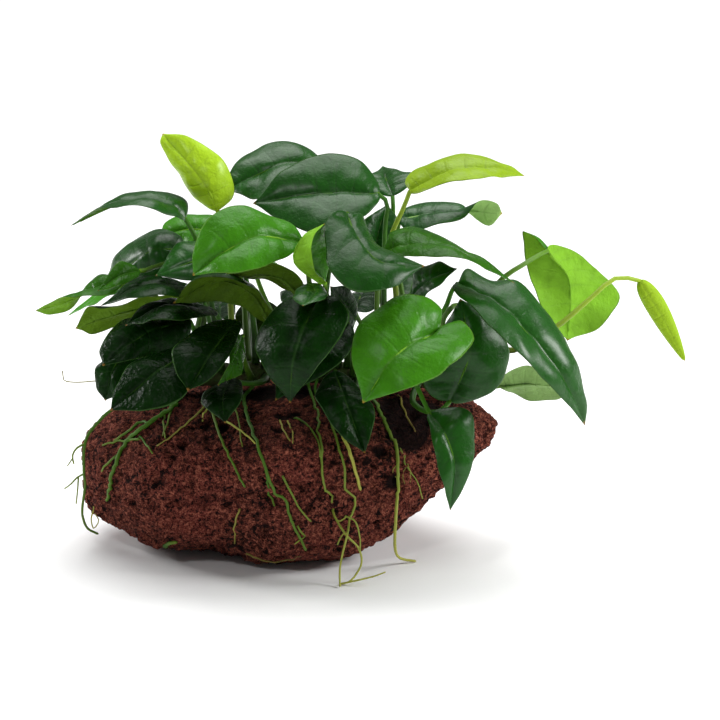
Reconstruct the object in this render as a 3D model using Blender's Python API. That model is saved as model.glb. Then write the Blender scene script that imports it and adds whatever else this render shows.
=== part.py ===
"""Anubias grown on a lump of red-brown lava stone, standing on the stone's flat underside.

The model is in metres with +Z up. The middle of the stone's underside is the origin, the
stone's length runs along X and its front looks towards -Y.

A plant has no square corner to measure from, so its places are given as they are seen from the
front, by an eye one metre away and 15 degrees above level. Each place in the tables is
(across, up, back) in millimetres: across and up as the front view shows them, from the middle
of the stone's foot, and back as the real distance behind that middle. A minus is left, down or
towards the front.
"""
import math

import bmesh
import bpy
from mathutils import Vector, noise
from mathutils.bvhtree import BVHTree

MM = 0.001
GAP = 0.35                     # between pieces that touch in the real plant

# The front view that the places are given in, in millimetres.
EYE_DISTANCE = 1000
EYE_TILT = math.radians(15)
EYE_AIM_ACROSS = 28
EYE_AIM_UP = 70.4
SHOWN_FROM = -90               # the stone lies between these depths
SHOWN_TO = 60

# The stone.
STONE_HALF_LENGTH = 82.5
STONE_SQUARENESS = 3           # 2 would be an ellipse in section
STONE_DETAIL = 4               # icosphere subdivisions, 1280 faces
STONE_END_POWER = 8            # how late the ends turn in
STONE_END_BLUNTNESS = 0.25
STONE_SLANT = 0.6              # how much the dents and lumps on the ends point along the stone
# Across, half depth, underside and top of the stone's section there.
STONE_SECTIONS = [
    (-83, 18, 9, 43), (-73, 30, 8, 52), (-60, 40, 4, 58), (-45, 46, -1, 60),
    (-20, 51, -1.5, 61), (0, 52, -2, 62), (20, 50, -1.5, 62), (30, 48, 1, 62),
    (38, 45, 6, 61), (44, 43, 11.5, 61), (54, 38, 20.5, 60), (61, 34, 25, 60),
    (72, 25, 31, 55), (83, 14, 38, 52)]
# Middle (x, y, z), reach and depth of each hollow (plus) or bulge (minus).
STONE_DENTS = [
    (50, -34, 50, 13, 7), (-8, -44, 3, 18, -1), (-32, -42, 2, 16, 6), (-62, -30, 44, 14, 4),
    (30, -50, 26, 14, 4), (-25, -52, 38, 15, 3), (68, -16, 34, 12, 3), (-70, 20, 30, 16, 5),
    (10, 52, 30, 20, 5), (55, 34, 40, 15, 5), (-35, 46, 44, 16, 4), (-2, -52, 50, 14, -3),
    (75, -8, 54, 9, -3), (84, -4, 42, 10, 2.5), (46, -37, 56, 10, 4.5),
    (-66, -28, 18, 8, 2.5), (-44, -42, 22, 7, 2), (-52, -36, 38, 8, -2), (-22, -48, 14, 8, 2.5),
    (-12, -50, 34, 8, 2), (6, -50, 24, 7, -2), (22, -50, 12, 8, 2.5), (36, -44, 34, 7, 1.5),
    (-34, -44, 52, 8, 2.5), (16, -48, 44, 8, 2.5), (44, -40, 22, 8, 2), (-78, -6, 26, 8, 2),
    (-74, 4, 44, 8, -2), (70, 8, 42, 8, 2.5), (-55, 36, 26, 8, 2.5), (-22, 48, 22, 9, 2.5),
    (-8, 50, 46, 8, -2.5), (28, 47, 22, 9, 2.5), (38, 42, 50, 8, 2), (-48, 38, 14, 8, -2)]
STONE_LUMPS = 2.4              # height of the lumps that the hand feels
STONE_LUMP_SIZE = 17
STONE_SMALL_LUMPS = 0.5        # as high as the big ones, and this many times as close
STONE_SMALL_LUMPS_CLOSER = 2.3
STONE_FLAT_BELOW = 0.8         # what is lower than this was worn flat

# The rhizomes: (x, y, z) along each one's middle, and how thick they are.
RHIZOME_RADIUS = 4.6
RHIZOME_SIDES = 8
RHIZOME_RINGS = 8
RHIZOME_KNOTS = 0.3            # how far the old leaf scars stand out
RHIZOME_CUT = 0.62             # the cut ends are this much thinner
RHIZOME_BARE_END = 0.06        # no leaf grows this near to an end
RHIZOMES = {
    "left": [(-43, 1, 66.5), (-32, -2, 67.5), (-20, -3, 68), (-7, -1, 68)],
    "middle": [(-2, -3, 68), (8, -1, 68.5), (18, -4, 68.5), (29, -3, 68.5)],
    "right": [(34, -1, 68.5), (43, -4, 68), (52, -3, 67), (63, -1, 66)]}

# Leaf stalks and blades.
STALK_FOOT_RADIUS = 1.3
STALK_TOP_RADIUS = 0.9
STALK_SIDES = 8
STALK_RINGS = 2                # besides the one where the blade begins
STALK_AIM = 0.43               # how soon a stalk heads for its blade
STALK_BEND = 0.7               # how far the blade's slant bends the end of the stalk
BLADE_STATIONS = (0.07, 0.19, 0.34, 0.52, 0.70, 0.87)
BLADE_GATHER = 1.3             # how far the stations crowd towards the stalk at the midrib
BLADE_SWEEP = 1.4              # how late a row across the blade bends towards the tip
BLADE_FACES_FROM = 0.25        # nearer to the stalk and to the tip than these, the blade
BLADE_FACES_TO = 0.8           # faces the way it does here
BLADE_HALFWAY = 0.55           # where the middle edge of each half runs, of its width
BLADE_THICKNESS = 0.9
BLADE_TAPER = 0.5              # how much thinner it is at the tip
BLADE_CAMBER = 0.08            # how far each half arches, of its width
RIB_DEPTH = 0.7                # how far the midrib stands out below
ROLLED_CORE = 0.3              # the least radius of a young leaf that is still rolled up
ROLLED_WIDEST = 0.62           # the lower, the nearer to the stalk a rolled blade is thickest
ROLLED_FULLNESS = 0.7          # the lower, the blunter its ends
# How far the margins start out backwards from the stalk, as lobes, and how drawn out the tip is.
SHAPES = {
    "heart": (0.9, 0.3), "broad": (0.5, 0.1), "ovate": (0.3, 0.25), "oval": (0.0, 0.0),
    "lance": (-0.6, 0.3), "rolled": (0.0, 0.0)}

# Colour, roughness.
FINISHES = {
    "stone": ((0.115, 0.032, 0.024), 0.95),
    "rhizome": ((0.07, 0.11, 0.025), 0.6),
    "root": ((0.10, 0.13, 0.03), 0.6),
    "dark": ((0.012, 0.055, 0.012), 0.3),
    "bright": ((0.035, 0.16, 0.015), 0.35),
    "olive": ((0.07, 0.13, 0.03), 0.5),
    "pale": ((0.20, 0.33, 0.13), 0.5),
    "young": ((0.30, 0.52, 0.03), 0.4)}

# The roots.
ROOT_SIDES = 6
ROOT_RING_SPACING = 8
ROOT_TAPER = 0.45
ROOT_SAG = 0.5                 # what a straight stretch may sag towards the stone


def leaf(finish, shape, crown, base, ribs, tip, left, right, stalk=()):
    """One leaf. crown is its rhizome, how far along it the stalk starts, and the angle there.

    The angle is from straight up, in degrees, and a minus leans to the front. The midrib runs
    from base through ribs to tip. left and right are the places that the blade's margins pass,
    seen from above with the tip pointing away, and stalk holds those that the stalk passes.
    """
    lobe, drawn_out = SHAPES[shape]
    return {"finish": finish, "rolled": shape == "rolled", "lobe": lobe, "drawn_out": drawn_out,
            "crown": crown, "midrib": [base, *ribs, tip], "left": left, "right": right, "stalk": stalk}


LEAVES = {
    "leaf_left_01": leaf("young", "oval", ("left", 0.62, -5), (-29, 130, -5),
        [(-35, 142, -8)], (-51, 161, 2), left=[(-38, 135, -2), (-45, 145, -2), (-52, 157, 0)],
        right=[(-22, 138, -2), (-27, 151, -2), (-41, 160, 0)], stalk=[(-26, 122, -4)]),
    "leaf_left_02": leaf("dark", "ovate", ("left", 0.45, 10), (-42, 127, -12),
        [(-49, 133, -14), (-65, 134, -12)], (-88, 124, -8),
        left=[(-47, 128, -22), (-61, 132, -28), (-77, 130, -18)],
        right=[(-41, 133, -4), (-46, 137, 0), (-56, 138, 2), (-71, 134, -2)],
        stalk=[(-38, 120, -14)]),
    "leaf_left_03": leaf("bright", "heart", ("middle", 0.18, -28), (5, 117, -42),
        [(-11, 120, -50), (-26, 114, -57)], (-39, 104, -58),
        left=[(1, 113, -52), (-11, 107, -62), (-26, 105, -66)],
        right=[(2, 124, -36), (-7, 128, -38), (-20, 133, -42), (-34, 126, -50), (-39, 114, -56)],
        stalk=[(8, 90, -14)]),
    "leaf_left_04": leaf("dark", "ovate", ("left", 0.88, -12), (-21, 114, -26),
        [(-36, 111, -36)], (-54, 104, -37), left=[(-27, 104, -37), (-41, 102, -40)],
        right=[(-30, 118, -22), (-45, 117, -26)]),
    "leaf_left_05": leaf("bright", "ovate", ("left", 0.80, 25), (-25, 119, 8),
        [(-38, 123, 16)], (-52, 120, 20), left=[(-31, 114, 6), (-42, 116, 12)],
        right=[(-30, 128, 22), (-40, 129, 26), (-50, 126, 26)]),
    "leaf_left_06": leaf("dark", "ovate", ("left", 0.30, -10), (-42, 115, -8),
        [(-56, 114, -12)], (-75, 99, 2), left=[(-48, 106, -14), (-62, 101, -8)],
        right=[(-46, 122, 4), (-58, 121, 10), (-69, 113, 10)]),
    "leaf_left_07": leaf("bright", "lance", ("left", 0.25, -38), (-60, 106, -34),
        [(-68, 104, -42)], (-77, 98, -46), left=[(-69, 100, -48)], right=[(-68, 110, -38)],
        stalk=[(-34, 105, -14), (-48, 109, -20)]),
    "leaf_left_08": leaf("bright", "lance", ("left", 0.06, -15), (-66, 101, -22),
        [(-78, 99, -22), (-89, 94, -22)], (-102, 90, -20),
        left=[(-74, 96, -31), (-86, 96, -30), (-95, 94, -25)],
        right=[(-76, 105, -12), (-85, 94, -14), (-95, 88, -16)], stalk=[(-52, 94, -6)]),
    "leaf_left_09": leaf("bright", "lance", ("left", 0.02, 30), (-61, 101, 6),
        [(-74, 97, 6)], (-89, 88, 6), left=[(-76, 94, -2)], right=[(-75, 99, 14)]),
    "leaf_left_10": leaf("dark", "ovate", ("left", 0.50, -60), (-36, 98, -26),
        [(-56, 101, -36)], (-76, 92, -38), left=[(-56, 96, -48)], right=[(-59, 104, -26)]),
    "leaf_left_11": leaf("olive", "ovate", ("left", 0.12, -40), (-40, 94, -16),
        [(-56, 92, -18), (-72, 88, -20)], (-86, 83, -20),
        left=[(-58, 96, -24), (-67, 92, -27), (-75, 91, -28), (-81, 92, -27)],
        right=[(-62, 87, -8), (-71, 83, -12), (-79, 81, -14)], stalk=[(-36, 90, -15)]),
    "leaf_left_12": leaf("olive", "ovate", ("left", 0.98, -40), (-8, 86, -20),
        [(-16, 98, -28), (-30, 102, -38)], (-47, 93, -48),
        left=[(-11, 96, -30), (-22, 102, -52), (-38, 103, -59)],
        right=[(-11, 86, -16), (-24, 93, -28), (-38, 93, -40)]),
    "leaf_left_13": leaf("olive", "ovate", ("middle", 0.02, -10), (3, 97, -26),
        [(-6, 104, -36)], (-27, 104, -43), left=[(-1, 108, -40), (-13, 108, -50)],
        right=[(-9, 102, -28)], stalk=[(0, 86, -12)]),
    "leaf_left_14": leaf("dark", "ovate", ("left", 0.70, -60), (-30, 90, -30),
        [(-50, 92, -40)], (-66, 84, -48), left=[(-40, 87, -50), (-54, 86, -56)],
        right=[(-44, 94, -24), (-58, 93, -34)]),
    "leaf_left_15": leaf("dark", "ovate", ("left", 0.36, -75), (-40, 86, -30),
        [(-56, 82, -42)], (-75, 68, -50), left=[(-43, 76, -36), (-54, 72, -40), (-65, 70, -50)],
        right=[(-52, 88, -28), (-70, 85, -36), (-76, 74, -44)]),
    "leaf_left_16": leaf("dark", "lance", ("left", 0.06, -60), (-56, 76, -22),
        [(-69, 70, -30)], (-74, 54, -34), left=[(-68, 57, -36)],
        right=[(-77, 68, -28), (-78, 60, -31)]),
    "leaf_left_17": leaf("dark", "ovate", ("left", 0.22, -95), (-35, 76, -44),
        [(-50, 68, -62)], (-72, 50, -66), left=[(-37, 66, -62), (-43, 55, -72), (-57, 50, -74)],
        right=[(-47, 75, -44), (-62, 70, -54), (-70, 60, -62)]),
    "leaf_left_18": leaf("dark", "ovate", ("left", 0.60, -90), (-22, 86, -42),
        [(-31, 74, -64)], (-41, 58, -74), left=[(-21, 79, -56), (-26, 69, -70), (-33, 62, -74)],
        right=[(-33, 85, -46), (-47, 75, -62), (-46, 66, -70)]),
    "leaf_left_19": leaf("bright", "lance", ("left", 0.80, -90), (-19, 80, -44),
        [(-23, 70, -62)], (-29, 60, -72), left=[(-19, 66, -56)], right=[(-25, 68, -68)]),
    "leaf_left_20": leaf("dark", "ovate", ("left", 0.97, -95), (-24, 63, -42),
        [(-27, 55, -60)], (-26, 45, -66), left=[(-19, 55, -60)], right=[(-36, 54, -56)]),
    "leaf_middle_01": leaf("dark", "ovate", ("middle", 0.40, 20), (14, 147, 16),
        [(-2, 149, 14)], (-26, 138, 8), left=[(6, 138, 0), (-11, 134, -4)],
        right=[(12, 152, 24), (4, 157, 28), (-7, 157, 28), (-18, 153, 22), (-24, 146, 14)]),
    "leaf_middle_02": leaf("dark", "heart", ("right", 0.06, -5), (35, 137, -12),
        [(11, 137, -14)], (-15, 133, -12),
        left=[(33, 131, -22), (23, 124, -28), (10, 121, -30), (-4, 126, -22)],
        right=[(35, 142, -4), (27, 151, 0), (15, 153, 0), (-1, 148, -5)],
        stalk=[(38, 124, -8), (39, 133, -9)]),
    "leaf_middle_03": leaf("dark", "heart", ("middle", 0.55, -80), (11, 95, -60),
        [(5, 82, -74), (1, 68, -78)], (0, 53, -72),
        left=[(18, 96, -62), (24, 89, -68), (20, 79, -74), (10, 66, -78)],
        right=[(3, 96, -58), (-8, 90, -62), (-14, 78, -66), (-10, 66, -74)], stalk=[(10, 91, -38)]),
    "leaf_middle_04": leaf("dark", "ovate", ("middle", 0.90, -80), (23, 85, -38),
        [(12, 74, -51)], (-6, 54, -58), left=[(25, 76, -48), (18, 67, -56)],
        right=[(2, 82, -46), (-5, 71, -52)]),
    "leaf_middle_05": leaf("dark", "ovate", ("middle", 0.36, -62), (8, 101, -54),
        [(10, 98, -64)], (5, 92, -80), left=[(15, 96, -70)], right=[(1, 95, -70)],
        stalk=[(8, 87, -24)]),
    "leaf_middle_06": leaf("bright", "lance", ("middle", 0.48, -36), (14, 101, -44),
        [(2, 110, -54), (5, 119, -56)], (14, 125, -50),
        left=[(10, 107, -62), (8, 114, -64), (10, 120, -60)], right=[(16, 109, -44), (16, 118, -42)],
        stalk=[(17, 87, -20)]),
    "leaf_middle_07": leaf("dark", "ovate", ("middle", 0.72, -38), (23, 129, -42),
        [(27, 120, -54), (36, 110, -63)], (54, 108, -56),
        left=[(28, 129, -37), (32, 122, -41), (37, 115, -47), (46, 112, -51)],
        right=[(18, 130, -47), (14, 125, -53), (14, 116, -60), (16, 106, -69), (25, 98, -74),
            (41, 99, -70)], stalk=[(24, 111, -27)]),
    "leaf_middle_08": leaf("dark", "ovate", ("right", 0.22, 35), (41, 136, 20),
        [(39, 141, 28)], (37, 148, 48), left=[(31, 142, 30)], right=[(50, 144, 28)],
        stalk=[(41, 120, 18)]),
    "leaf_middle_09": leaf("pale", "ovate", ("right", 0.10, 30), (35, 111, 0),
        [(35, 120, 6)], (39, 133, 14), left=[(29, 125, 2)], right=[(43, 126, 10)]),
    "leaf_middle_10": leaf("dark", "ovate", ("middle", 0.84, -38), (26, 87, -22),
        [(21, 94, -34)], (16, 100, -44), left=[(17, 92, -44)], right=[(24, 99, -30)]),
    "leaf_right_01": leaf("bright", "lance", ("right", 0.12, -50), (37, 114, -30),
        [(56, 117, -38), (73, 112, -44)], (90, 101, -46),
        left=[(40, 121, -22), (50, 124, -18), (62, 118, -27), (76, 111, -38)],
        right=[(43, 111, -40), (54, 112, -50), (70, 110, -54)]),
    "leaf_right_02": leaf("young", "ovate", ("right", 0.28, 5), (48, 138, -8),
        [(64, 146, -10), (81, 147, -8)], (94, 144, -4),
        left=[(46, 142, -2), (51, 147, 3), (64, 152, 5), (78, 152, 3), (88, 148, 0)],
        right=[(55, 138, -18), (67, 142, -23), (81, 143, -16)], stalk=[(41, 121, -6), (44, 128, -8)]),
    "leaf_right_03": leaf("pale", "ovate", ("right", 0.48, 25), (44, 127, 10),
        [(56, 129, 8), (70, 130, 5)], (85, 129, 4),
        left=[(47, 132, 18), (59, 134, 19), (69, 132, 12), (74, 127, 6), (80, 124, 2)],
        right=[(48, 122, 0), (56, 123, -3), (70, 128, -4), (76, 134, -1), (83, 133, 2)]),
    "leaf_right_04": leaf("bright", "heart", ("right", 0.86, 20), (103, 114, 12),
        [(111, 104, 18), (112, 93, 20)], (111, 78, 14),
        left=[(98, 119, 16), (93, 122, 19), (94, 110, 16), (99, 95, 14), (105, 84, 13)],
        right=[(111, 115, 22), (124, 106, 30), (132, 96, 32), (124, 83, 24)],
        stalk=[(84, 102, -6), (94, 109, -1)]),
    "leaf_right_05": leaf("young", "rolled", ("right", 0.98, 15), (140, 102, 18),
        [(146, 93, 20), (152, 82, 20)], (158, 70, 18), left=[(142, 91, 20)], right=[(151, 94, 20)],
        stalk=[(92, 75, -2), (107, 84, 2), (119, 94, 8), (130, 103, 14)]),
    "leaf_right_06": leaf("dark", "ovate", ("right", 0.44, -32), (67, 101, -36),
        [(83, 93, -45), (98, 78, -52), (110, 62, -53)], (118, 44, -48),
        left=[(71, 107, -26), (80, 103, -30), (91, 102, -31), (102, 91, -36), (112, 76, -42),
            (119, 54, -47)], right=[(66, 97, -48), (74, 91, -56), (85, 79, -63), (102, 62, -61)],
        stalk=[(62, 91, -26)]),
    "leaf_right_07": leaf("dark", "broad", ("right", 0.55, -90), (64, 54, -38),
        [(68, 62, -38), (72, 74, -38)], (68, 95, -31),
        left=[(58, 55, -38), (53, 61, -37), (56, 74, -33), (64, 88, -30)],
        right=[(73, 54, -37), (84, 60, -35), (88, 72, -30), (80, 88, -28)],
        stalk=[(49, 54, -24), (54, 50, -32), (60, 50, -37)]),
    "leaf_right_08": leaf("bright", "heart", ("right", 0.64, -48), (60, 82, -62),
        [(43, 73, -77)], (29, 53, -80),
        left=[(68, 86, -60), (74, 79, -66), (61, 65, -80), (45, 58, -86)],
        right=[(60, 92, -56), (46, 97, -58), (30, 88, -64), (24, 74, -72)],
        stalk=[(70, 81, -10), (67, 92, -20), (62, 88, -40)]),
    "leaf_right_09": leaf("dark", "ovate", ("right", 0.34, -95), (56, 49, -52),
        [(62, 41, -60), (66, 28, -64)], (64, 10, -64),
        left=[(72, 50, -54), (74, 38, -58), (73, 28, -62), (69, 18, -64)],
        right=[(56, 43, -58), (58, 33, -64), (61, 21, -67)], stalk=[(50, 61, -43)]),
    "leaf_right_10": leaf("dark", "ovate", ("middle", 0.97, -115), (18, 66, -48),
        [(23, 52, -60)], (30, 33, -66), left=[(29, 58, -52), (34, 50, -60), (32, 39, -66)],
        right=[(10, 56, -56), (13, 50, -62), (20, 40, -67)]),
    "leaf_right_11": leaf("pale", "ovate", ("right", 0.97, -50), (84, 60, -5),
        [(96, 61, -6)], (113, 59, -5), left=[(89, 57, 4), (97, 54, 4), (106, 54, 2)],
        right=[(87, 66, -12), (96, 68, -14)]),
    "leaf_right_12": leaf("dark", "lance", ("right", 0.26, -35), (49, 96, -36),
        [(56, 102, -40)], (67, 107, -42), left=[(50, 105, -30), (58, 110, -32)],
        right=[(54, 96, -46), (61, 101, -48)]),
    "leaf_back_01": leaf("dark", "ovate", ("left", 0.15, 75), (-28, 87, 20),
        [(-28, 92, 40)], (-30, 96, 64), left=[(-37, 91, 42)], right=[(-22, 93, 46)]),
    "leaf_back_02": leaf("dark", "broad", ("left", 0.85, 80), (-15, 94, 26),
        [(-14, 86, 38)], (-13, 76, 42), left=[(-22, 87, 34)], right=[(-2, 88, 36)]),
    "leaf_back_03": leaf("dark", "ovate", ("middle", 0.30, 80), (3, 93, 24),
        [(4, 98, 44)], (4, 101, 72), left=[(-4, 97, 46)], right=[(13, 98, 48)]),
    "leaf_back_04": leaf("olive", "ovate", ("right", 0.05, 80), (26, 90, 24),
        [(28, 96, 46)], (30, 99, 70), left=[(20, 94, 50)], right=[(38, 96, 50)]),
    "leaf_back_05": leaf("dark", "ovate", ("right", 0.70, 75), (47, 94, 20),
        [(49, 102, 38)], (50, 110, 58), left=[(42, 101, 46)], right=[(56, 101, 36)]),
    "leaf_back_06": leaf("bright", "ovate", ("middle", 0.10, 50), (-14, 106, 14),
        [(-15, 110, 34)], (-17, 106, 62), left=[(-26, 107, 36)], right=[(-5, 109, 36)]),
}


def root(radius, crown, places):
    """One root. A place of (across, up) lies on the stone, one of (across, up, back) is free."""
    return {"radius": radius, "crown": crown, "places": places}


ROOTS = {
    "root_01": root(0.7, ("left", 0.0, -110), [
        (-60, 57, -14), (-72, 50, -17), (-79, 43, -19), (-82, 37, -21), (-82.5, 26, -22), (-82, 20, -22),
        (-83, 12, -20), (-83, 8, -18), (-81, 3, -15), (-77, 1, -13)]),
    "root_02": root(1.0, ("left", 0.10, -110), [
        (-43, 56), (-48, 50), (-54, 46), (-60, 42), (-66, 36), (-69, 30), (-71, 22), (-73, 14)]),
    "root_03": root(0.6, ("left", 0.48, -110), [
        (-32, 54), (-30, 46), (-28, 40), (-24, 31), (-20, 24), (-18, 20)]),
    "root_04": root(0.7, ("left", 0.86, -110), [
        (-18, 56), (-18, 51), (-15, 42), (-12, 34), (-9, 25), (-6, 17), (-2, 15), (0, 8), (4, -1),
        (6, -5)]),
    "root_05": root(0.8, ("middle", 0.70, -110), [
        (19, 56), (20, 48), (21, 41), (24, 33), (26, 27), (28, 19)]),
    "root_06": root(0.55, ("middle", 0.30, -110), [
        (10, 52), (12, 38), (13, 26), (14, 19), (17, 16), (17, 10), (22, 1, -56),
        (27.5, -5, -55), (28.5, -11, -54), (26, -16, -55), (23.5, -18.5, -57.5)]),
    "root_07": root(0.55, ("middle", 0.50, -110), [
        (17, 44), (20, 34), (22, 26), (22, 19), (26, 15), (24, 8), (23, 1, -58), (21, -7, -57),
        (20, -13, -56), (20, -18, -58), (20, -20, -60)]),
    "root_08": root(0.75, ("right", 0.05, -110), [
        (33, 54), (36, 49), (39, 42), (42, 36), (43, 27), (43, 18), (42.5, 10, -48), (42, 1, -46),
        (42, -4, -42), (43, -8, -36.5), (46, -9.5, -33), (50, -10, -32)])}


def place(across, up, back):
    """The point that the front view shows at (across, up), at a depth of back."""
    sine, cosine = math.sin(EYE_TILT), math.cos(EYE_TILT)
    nearer = (sine * up - back) / (cosine + sine * (up - EYE_AIM_UP) / EYE_DISTANCE)
    shrink = 1 - nearer / EYE_DISTANCE
    x = EYE_AIM_ACROSS + (across - EYE_AIM_ACROSS) * shrink
    height = EYE_AIM_UP + (up - EYE_AIM_UP) * shrink
    return Vector((x, sine * height - cosine * nearer, cosine * height + sine * nearer))


class Path:
    """A smooth line through a few points, along which 0 is the start and 1 the end."""

    def __init__(self, points, start=None, end=None):
        self.points = [Vector(point) for point in points]
        gaps = [(b - a).length for a, b in zip(self.points, self.points[1:])]
        self.length = sum(gaps)
        self.knots = [sum(gaps[:i]) / self.length for i in range(len(self.points))]
        self.slopes = []
        for i in range(len(self.points)):
            before, after = max(i - 1, 0), min(i + 1, len(self.points) - 1)
            rise = self.points[after] - self.points[before]
            self.slopes.append(rise / (self.knots[after] - self.knots[before]))
        if start:
            self.slopes[0] = start.normalized() * self.length
        if end:
            self.slopes[-1] = end.normalized() * self.length

    def at(self, along):
        """The point at a share of the length; before the start the line runs on straight."""
        if along < 0:
            return self.points[0] + self.slopes[0] * along
        i = max(k for k in range(len(self.points) - 1) if self.knots[k] <= along or k == 0)
        span = self.knots[i + 1] - self.knots[i]
        t = (along - self.knots[i]) / span
        return (self.points[i] * (1 + 2 * t) * (1 - t) ** 2 + self.slopes[i] * span * t * (1 - t) ** 2
                + self.points[i + 1] * t * t * (3 - 2 * t) - self.slopes[i + 1] * span * t * t * (1 - t))

    def slope(self, along):
        """The direction of the line there, with a length of 1."""
        step = 0.01
        near, far = max(along - step, 0), min(along + step, 1)
        return (self.at(far) - self.at(near)).normalized()


def add_object(name, vertices, faces, finish):
    """One closed piece from points in millimetres."""
    mesh = bpy.data.meshes.new(name)
    mesh.from_pydata([point * MM for point in vertices], [], faces)
    mesh.materials.append(material(finish))
    piece = bpy.data.objects.new(name, mesh)
    bpy.context.collection.objects.link(piece)
    return piece


def material(finish):
    """The shared material of a finish."""
    if finish in bpy.data.materials:
        return bpy.data.materials[finish]
    colour, roughness = FINISHES[finish]
    made = bpy.data.materials.new(finish)
    made.use_nodes = True
    shader = made.node_tree.nodes["Principled BSDF"]
    shader.inputs["Base Color"].default_value = (*colour, 1)
    shader.inputs["Roughness"].default_value = roughness
    return made


def skin(rings, tip=None):
    """Vertices and faces of a tube through rings of points, closed flat or at a tip.

    The quads between two rings are cut along the same diagonal on the upper and the lower side, so
    that the two sides of a thin twisted blade stay apart.
    """
    sides = len(rings[0])
    vertices = [point for ring in rings for point in ring]
    faces = [tuple(range(sides))[::-1]]
    for k in range(len(rings) - 1):
        for i in range(sides):
            j = (i + 1) % sides
            a, b = k * sides + i, k * sides + j
            c, d = b + sides, a + sides
            if i // (sides // 4) % 2:
                faces += [(a, b, d), (b, c, d)]
            else:
                faces += [(a, b, c), (a, c, d)]
    last = (len(rings) - 1) * sides
    if tip is None:
        faces.append(tuple(range(last, last + sides)))
    else:
        vertices.append(tip)
        faces += [(last + i, last + (i + 1) % sides, len(vertices) - 1) for i in range(sides)]
    return vertices, faces


def round_ring(middle, side, direction, radius, sides):
    """A ring of points around a line, the first one opposite side."""
    upper = side.cross(direction).normalized()
    turns = [math.pi - 2 * math.pi * i / sides for i in range(sides)]
    return [middle + (side * math.cos(turn) + upper * math.sin(turn)) * radius for turn in turns]


def square_to(side, direction):
    """The part of side that is square to direction, with a length of 1."""
    return (side - direction * side.dot(direction)).normalized()


# ---- The stone -------------------------------------------------------------------------------


def stone_section(x):
    """Half depth, underside and top of the stone at x."""
    rows = STONE_SECTIONS
    i = max(k for k in range(len(rows) - 1) if rows[k][0] <= x or k == 0)
    t = (x - rows[i][0]) / (rows[i + 1][0] - rows[i][0])
    return [a + (b - a) * t for a, b in zip(rows[i][1:], rows[i + 1][1:])]


def stone_point(direction):
    """Where the stone's surface lies in a direction from its middle."""
    power = STONE_SQUARENESS
    along, around = abs(direction.x), math.hypot(direction.y, direction.z)
    along /= (along ** power + around ** power) ** (1 / power)
    blunt = max(0, 1 - along ** STONE_END_POWER) ** STONE_END_BLUNTNESS
    x = math.copysign(along * STONE_HALF_LENGTH, direction.x)
    half_depth, underside, top = stone_section(x)
    size = (abs(direction.y) ** power + abs(direction.z) ** power) ** (1 / power) or 1
    y = blunt * half_depth * direction.y / size
    z = (top + underside) / 2 + blunt * (top - underside) / 2 * direction.z / size
    point = Vector((x, y, z))
    outward = Vector((direction.x * STONE_SLANT, direction.y, direction.z)).normalized()
    for *middle, reach, depth in STONE_DENTS:
        away = (point - Vector(middle)).length / reach
        point = point - outward * depth * math.exp(-away * away)
    place_of_lump = point / STONE_LUMP_SIZE
    lump = noise.noise(place_of_lump)
    lump += STONE_SMALL_LUMPS * noise.noise(place_of_lump * STONE_SMALL_LUMPS_CLOSER)
    point = point + outward * STONE_LUMPS * lump
    if point.z < STONE_FLAT_BELOW:
        point.z = 0
    return point


def make_stone():
    """The lava stone, and a tree of its faces for what grows on it."""
    ball = bmesh.new()
    bmesh.ops.create_icosphere(ball, subdivisions=STONE_DETAIL, radius=1)
    vertices = [stone_point(vertex.co.normalized()) for vertex in ball.verts]
    faces = [tuple(vertex.index for vertex in face.verts) for face in ball.faces]
    ball.free()
    add_object("lava_stone", vertices, faces, "stone")
    return BVHTree.FromPolygons(vertices, faces)


# ---- The rhizomes ----------------------------------------------------------------------------


def make_rhizome(name, path):
    """One creeping stem, knotted where old leaves have dropped."""
    rings = []
    for i in range(RHIZOME_RINGS):
        along = i / (RHIZOME_RINGS - 1)
        direction = path.slope(along)
        blunt = RHIZOME_CUT if i in (0, RHIZOME_RINGS - 1) else 1
        radius = (RHIZOME_RADIUS - RHIZOME_KNOTS * (i % 2)) * blunt
        side = square_to(Vector((0, -1, 0)), direction)
        rings.append(round_ring(path.at(along), side, direction, radius, RHIZOME_SIDES))
    add_object("rhizome_" + name, *skin(rings), "rhizome")


def crown_point(rhizomes, crown, clear):
    """A point beside a rhizome, clear of its bark, and the direction away from it there."""
    name, along, angle = crown
    path = rhizomes[name]
    along = RHIZOME_BARE_END + (1 - 2 * RHIZOME_BARE_END) * along
    direction = path.slope(along)
    back = square_to(Vector((0, 1, 0)), direction)
    up = square_to(Vector((0, 0, 1)), direction)
    away = up * math.cos(math.radians(angle)) + back * math.sin(math.radians(angle))
    return path.at(along) + away * (RHIZOME_RADIUS + clear), away


# ---- The leaves ------------------------------------------------------------------------------


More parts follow.
